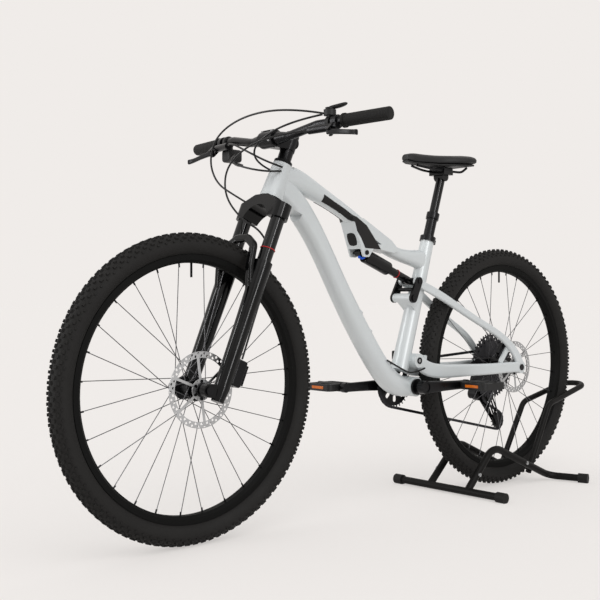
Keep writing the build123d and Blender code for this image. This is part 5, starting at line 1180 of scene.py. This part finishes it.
# Each section: share of the run, half width, half height and rise of its middle, in mm.
PADDLE_SECTIONS = (
    (-0.12, 5, 1.5, -1.5), (0.0, 9, 4.2, -0.5), (0.35, 9.5, 5.2, 1.0), (0.7, 9.5, 5.4, 3.2),
    (1.0, 9, 4.8, 5.8), (1.16, 7, 3.4, 7.4), (1.24, 3, 1.4, 8.0),
)
low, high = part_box("remote_lever")
paddle_from = Vector((high.x - HUB_RADIUS, low.y + HUB_RADIUS, high.z))
paddle_to = Vector((low.x + PADDLE_TIP, high.y - PADDLE_TIP, high.z))
paddle_run = paddle_to - paddle_from
paddle_side = Vector((-paddle_run.y, paddle_run.x, 0)).normalized()
loops = []
for share, half, tall, rise in PADDLE_SECTIONS:
    loop = []
    for step in range(PADDLE_AROUND):
        turn = math.tau * step / PADDLE_AROUND
        spot = paddle_from + paddle_run * share + paddle_side * (half * math.cos(turn) / 1000)
        loop.append(tuple(spot + Vector((0, 0, (rise + tall * math.sin(turn)) / 1000))))
    loops.append(loop)
hub = cut_plate("paddle_hub", [belt([(paddle_from.xy, HUB_RADIUS)], 32)], high.z - low.z)
hub_place = Matrix.Translation((0, 0, (low.z + high.z) / 2))
paddle = joined("thumb_paddle", [(lofted(loops), still), (hub, hub_place)], nylon, True)
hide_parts("remote_lever")
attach(paddle, "remote_lever")

# %% [markdown]
# Bright socket bolts clamp the bar in the stem, hold the top cap and join the stand's rails. Each
# is set where a ray meets the piece that it holds, so that no head floats or sinks.

# %% Stem and rail bolts
BOLT_SUNK, HEAD_TALL = 0.0004, 0.0030
STEM_BOLT, CAP_HEAD, RAIL_BOLT = 0.0032, 0.0050, 0.0055
BAR_SPOT, STEM_BOLT_SIDE, STEM_BOLT_RISE = Vector((0.38393, 0, 0.98299)), 0.019, 0.0135
STEM_RAY, CAP_RAY, RAIL_RAY = 0.1, 0.9, 0.3
RAIL_SPOTS, RAIL_REACH = (-0.3565, -0.5900), 0.29
faceplate, spacers, rails = (
    surface_of(name) for name in ("stem_faceplate", "headset_spacers", "stand_side_rails")
)
# Each aim: the surface, where its ray starts and which way it goes, the bolt's radius, its body.
aims = []
for side in (-STEM_BOLT_SIDE, STEM_BOLT_SIDE):
    for rise in (-STEM_BOLT_RISE, STEM_BOLT_RISE):
        spot = BAR_SPOT + FORK_AXIS * rise + Vector((0, side, 0))
        aims.append((faceplate, spot + FORK_AHEAD * STEM_RAY, -FORK_AHEAD, STEM_BOLT, "steering"))
aims.append((spacers, FORK_FOOT + FORK_AXIS * CAP_RAY, -FORK_AXIS, CAP_HEAD, "steering"))
for x in RAIL_SPOTS:
    for side in (1, -1):
        inward = Vector((0, -side, 0))
        # The rail's middle height at this x is the middle of the heights at which a ray meets it.
        heights = [
            z
            for z in np.linspace(0.005, 0.135, 131)
            if rails.ray_cast(Vector((x, side * RAIL_RAY, z)), inward, RAIL_REACH)[0]
        ]
        start = Vector((x, side * RAIL_RAY, float(np.mean(heights))))
        aims.append((rails, start, inward, RAIL_BOLT, "stand"))
heads = {"steering": [], "stand": []}
for surface, start, travel, radius, body in aims:
    hit = surface.ray_cast(start, travel)[0]
    if hit:
        facing = (-travel).to_track_quat("X", "Z").to_matrix().to_4x4()
        place = Matrix.Translation(hit + travel * BOLT_SUNK) @ facing
        heads[body].append((socket_bolt(radius, HEAD_TALL), place))
for body, bolts in heads.items():
    made = joined(f"{body}_bolts", bolts, bright_steel)
    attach(made, body)

# %% [markdown]
# A seamless pale floor runs to a backdrop of the same tone. The photograph's floor hardly darkens
# under the object, so a part of the floor's tone does not depend on the lamps, and the shadow that
# is left is faint. A painted matte board gives the eye no gloss at all.

# %% Floor and backdrop
BACKDROP, FLOOR_GLOW, FLOOR_HALF, DOME = "F0ECE9", 0.55, 60, 0.735


def seen_rays(tree):
    """1 for rays that come from the eye, straight or by way of gloss or glass."""
    path = add(tree, "ShaderNodeLightPath").outputs
    seen = path["Is Camera Ray"]
    for other in ("Is Transmission Ray", "Is Glossy Ray"):
        both = {0: seen, 1: path[other]}
        seen = add(tree, "ShaderNodeMath", both, operation="MAXIMUM").outputs[0]
    return seen


floor_tone, tree, shader, _ = start_finish("matte_studio_floor")
feed(tree, shader, {
    "Base Color": colour(BACKDROP), "Roughness": 0.9, "Specular IOR Level": 0.0,
})
glow = add(tree, "ShaderNodeEmission", {"Color": colour(BACKDROP), "Strength": 1.0})
share = add(tree, "ShaderNodeMath", {0: seen_rays(tree), 1: FLOOR_GLOW}, operation="MULTIPLY")
floor_mix = add(tree, "ShaderNodeMixShader", {
    0: share.outputs[0], 1: shader.outputs["BSDF"], 2: glow.outputs["Emission"],
})
feed(tree, tree.nodes["Material Output"], {"Surface": floor_mix.outputs["Shader"]})
corners = [(x * FLOOR_HALF, y * FLOOR_HALF, 0) for x, y in ((-1, -1), (1, -1), (1, 1), (-1, 1))]
floor = linked("floor", mesh_from("floor", corners, [(0, 1, 2, 3)]))
floor.data.materials.append(floor_tone)

world = bpy.data.worlds.new("studio")
scene.world = world
world.use_nodes = True
sky = world.node_tree
sky.nodes.clear()
backdrop = add(sky, "ShaderNodeBackground", {"Color": colour(BACKDROP), "Strength": 1.0})
dome = add(sky, "ShaderNodeBackground", {"Color": colour("FFFFFF"), "Strength": DOME})
mixed = add(sky, "ShaderNodeMixShader", {
    0: seen_rays(sky), 1: dome.outputs[0], 2: backdrop.outputs[0],
})
add(sky, "ShaderNodeOutputWorld", {"Surface": mixed.outputs[0]})
print("floor and sky", len(tree.nodes), len(sky.nodes), "nodes")

# %% [markdown]
# The light is the dome with two broad suns, which light the whole floor evenly, so floor and
# backdrop meet without a line. Two tall softboxes show only in gloss, as long lines on the tubes.

# %% Lamps
def lamp(name, kind, travel, energy):
    """A lamp whose light travels along a direction."""
    made = linked(name, bpy.data.lights.new(name, kind))
    made.data.energy = energy
    made.rotation_euler = travel.to_track_quat("-Z", "Y").to_euler()
    return made


# Each sun: the way its light travels, its strength and its spread in degrees.
SUNS = {"key_sun": ((-0.35, -0.75, -1.0), 0.8, 50), "fill_sun": ((-0.9, 0.35, -0.8), 0.35, 70)}
for name, (travel, strength, spread) in SUNS.items():
    lamp(name, "SUN", Vector(travel), strength).data.angle = math.radians(spread)

STRIP_WIDE, STRIP_TALL, STRIP_WATTS = 0.35, 3.2, 70
# Each softbox: where it stands and what it faces.
STRIPS = {
    "left_strip": ((0.6, 3.4, 1.3), (0.2, 0.0, 0.6)),
    "front_strip": ((3.3, -1.6, 1.3), (0.3, 0.0, 0.6)),
}
for name, (spot, target) in STRIPS.items():
    strip = lamp(name, "AREA", Vector(target) - Vector(spot), STRIP_WATTS)
    strip.data.shape = "RECTANGLE"
    strip.data.size, strip.data.size_y = STRIP_WIDE, STRIP_TALL
    strip.location = spot
    strip.visible_diffuse = strip.visible_camera = False
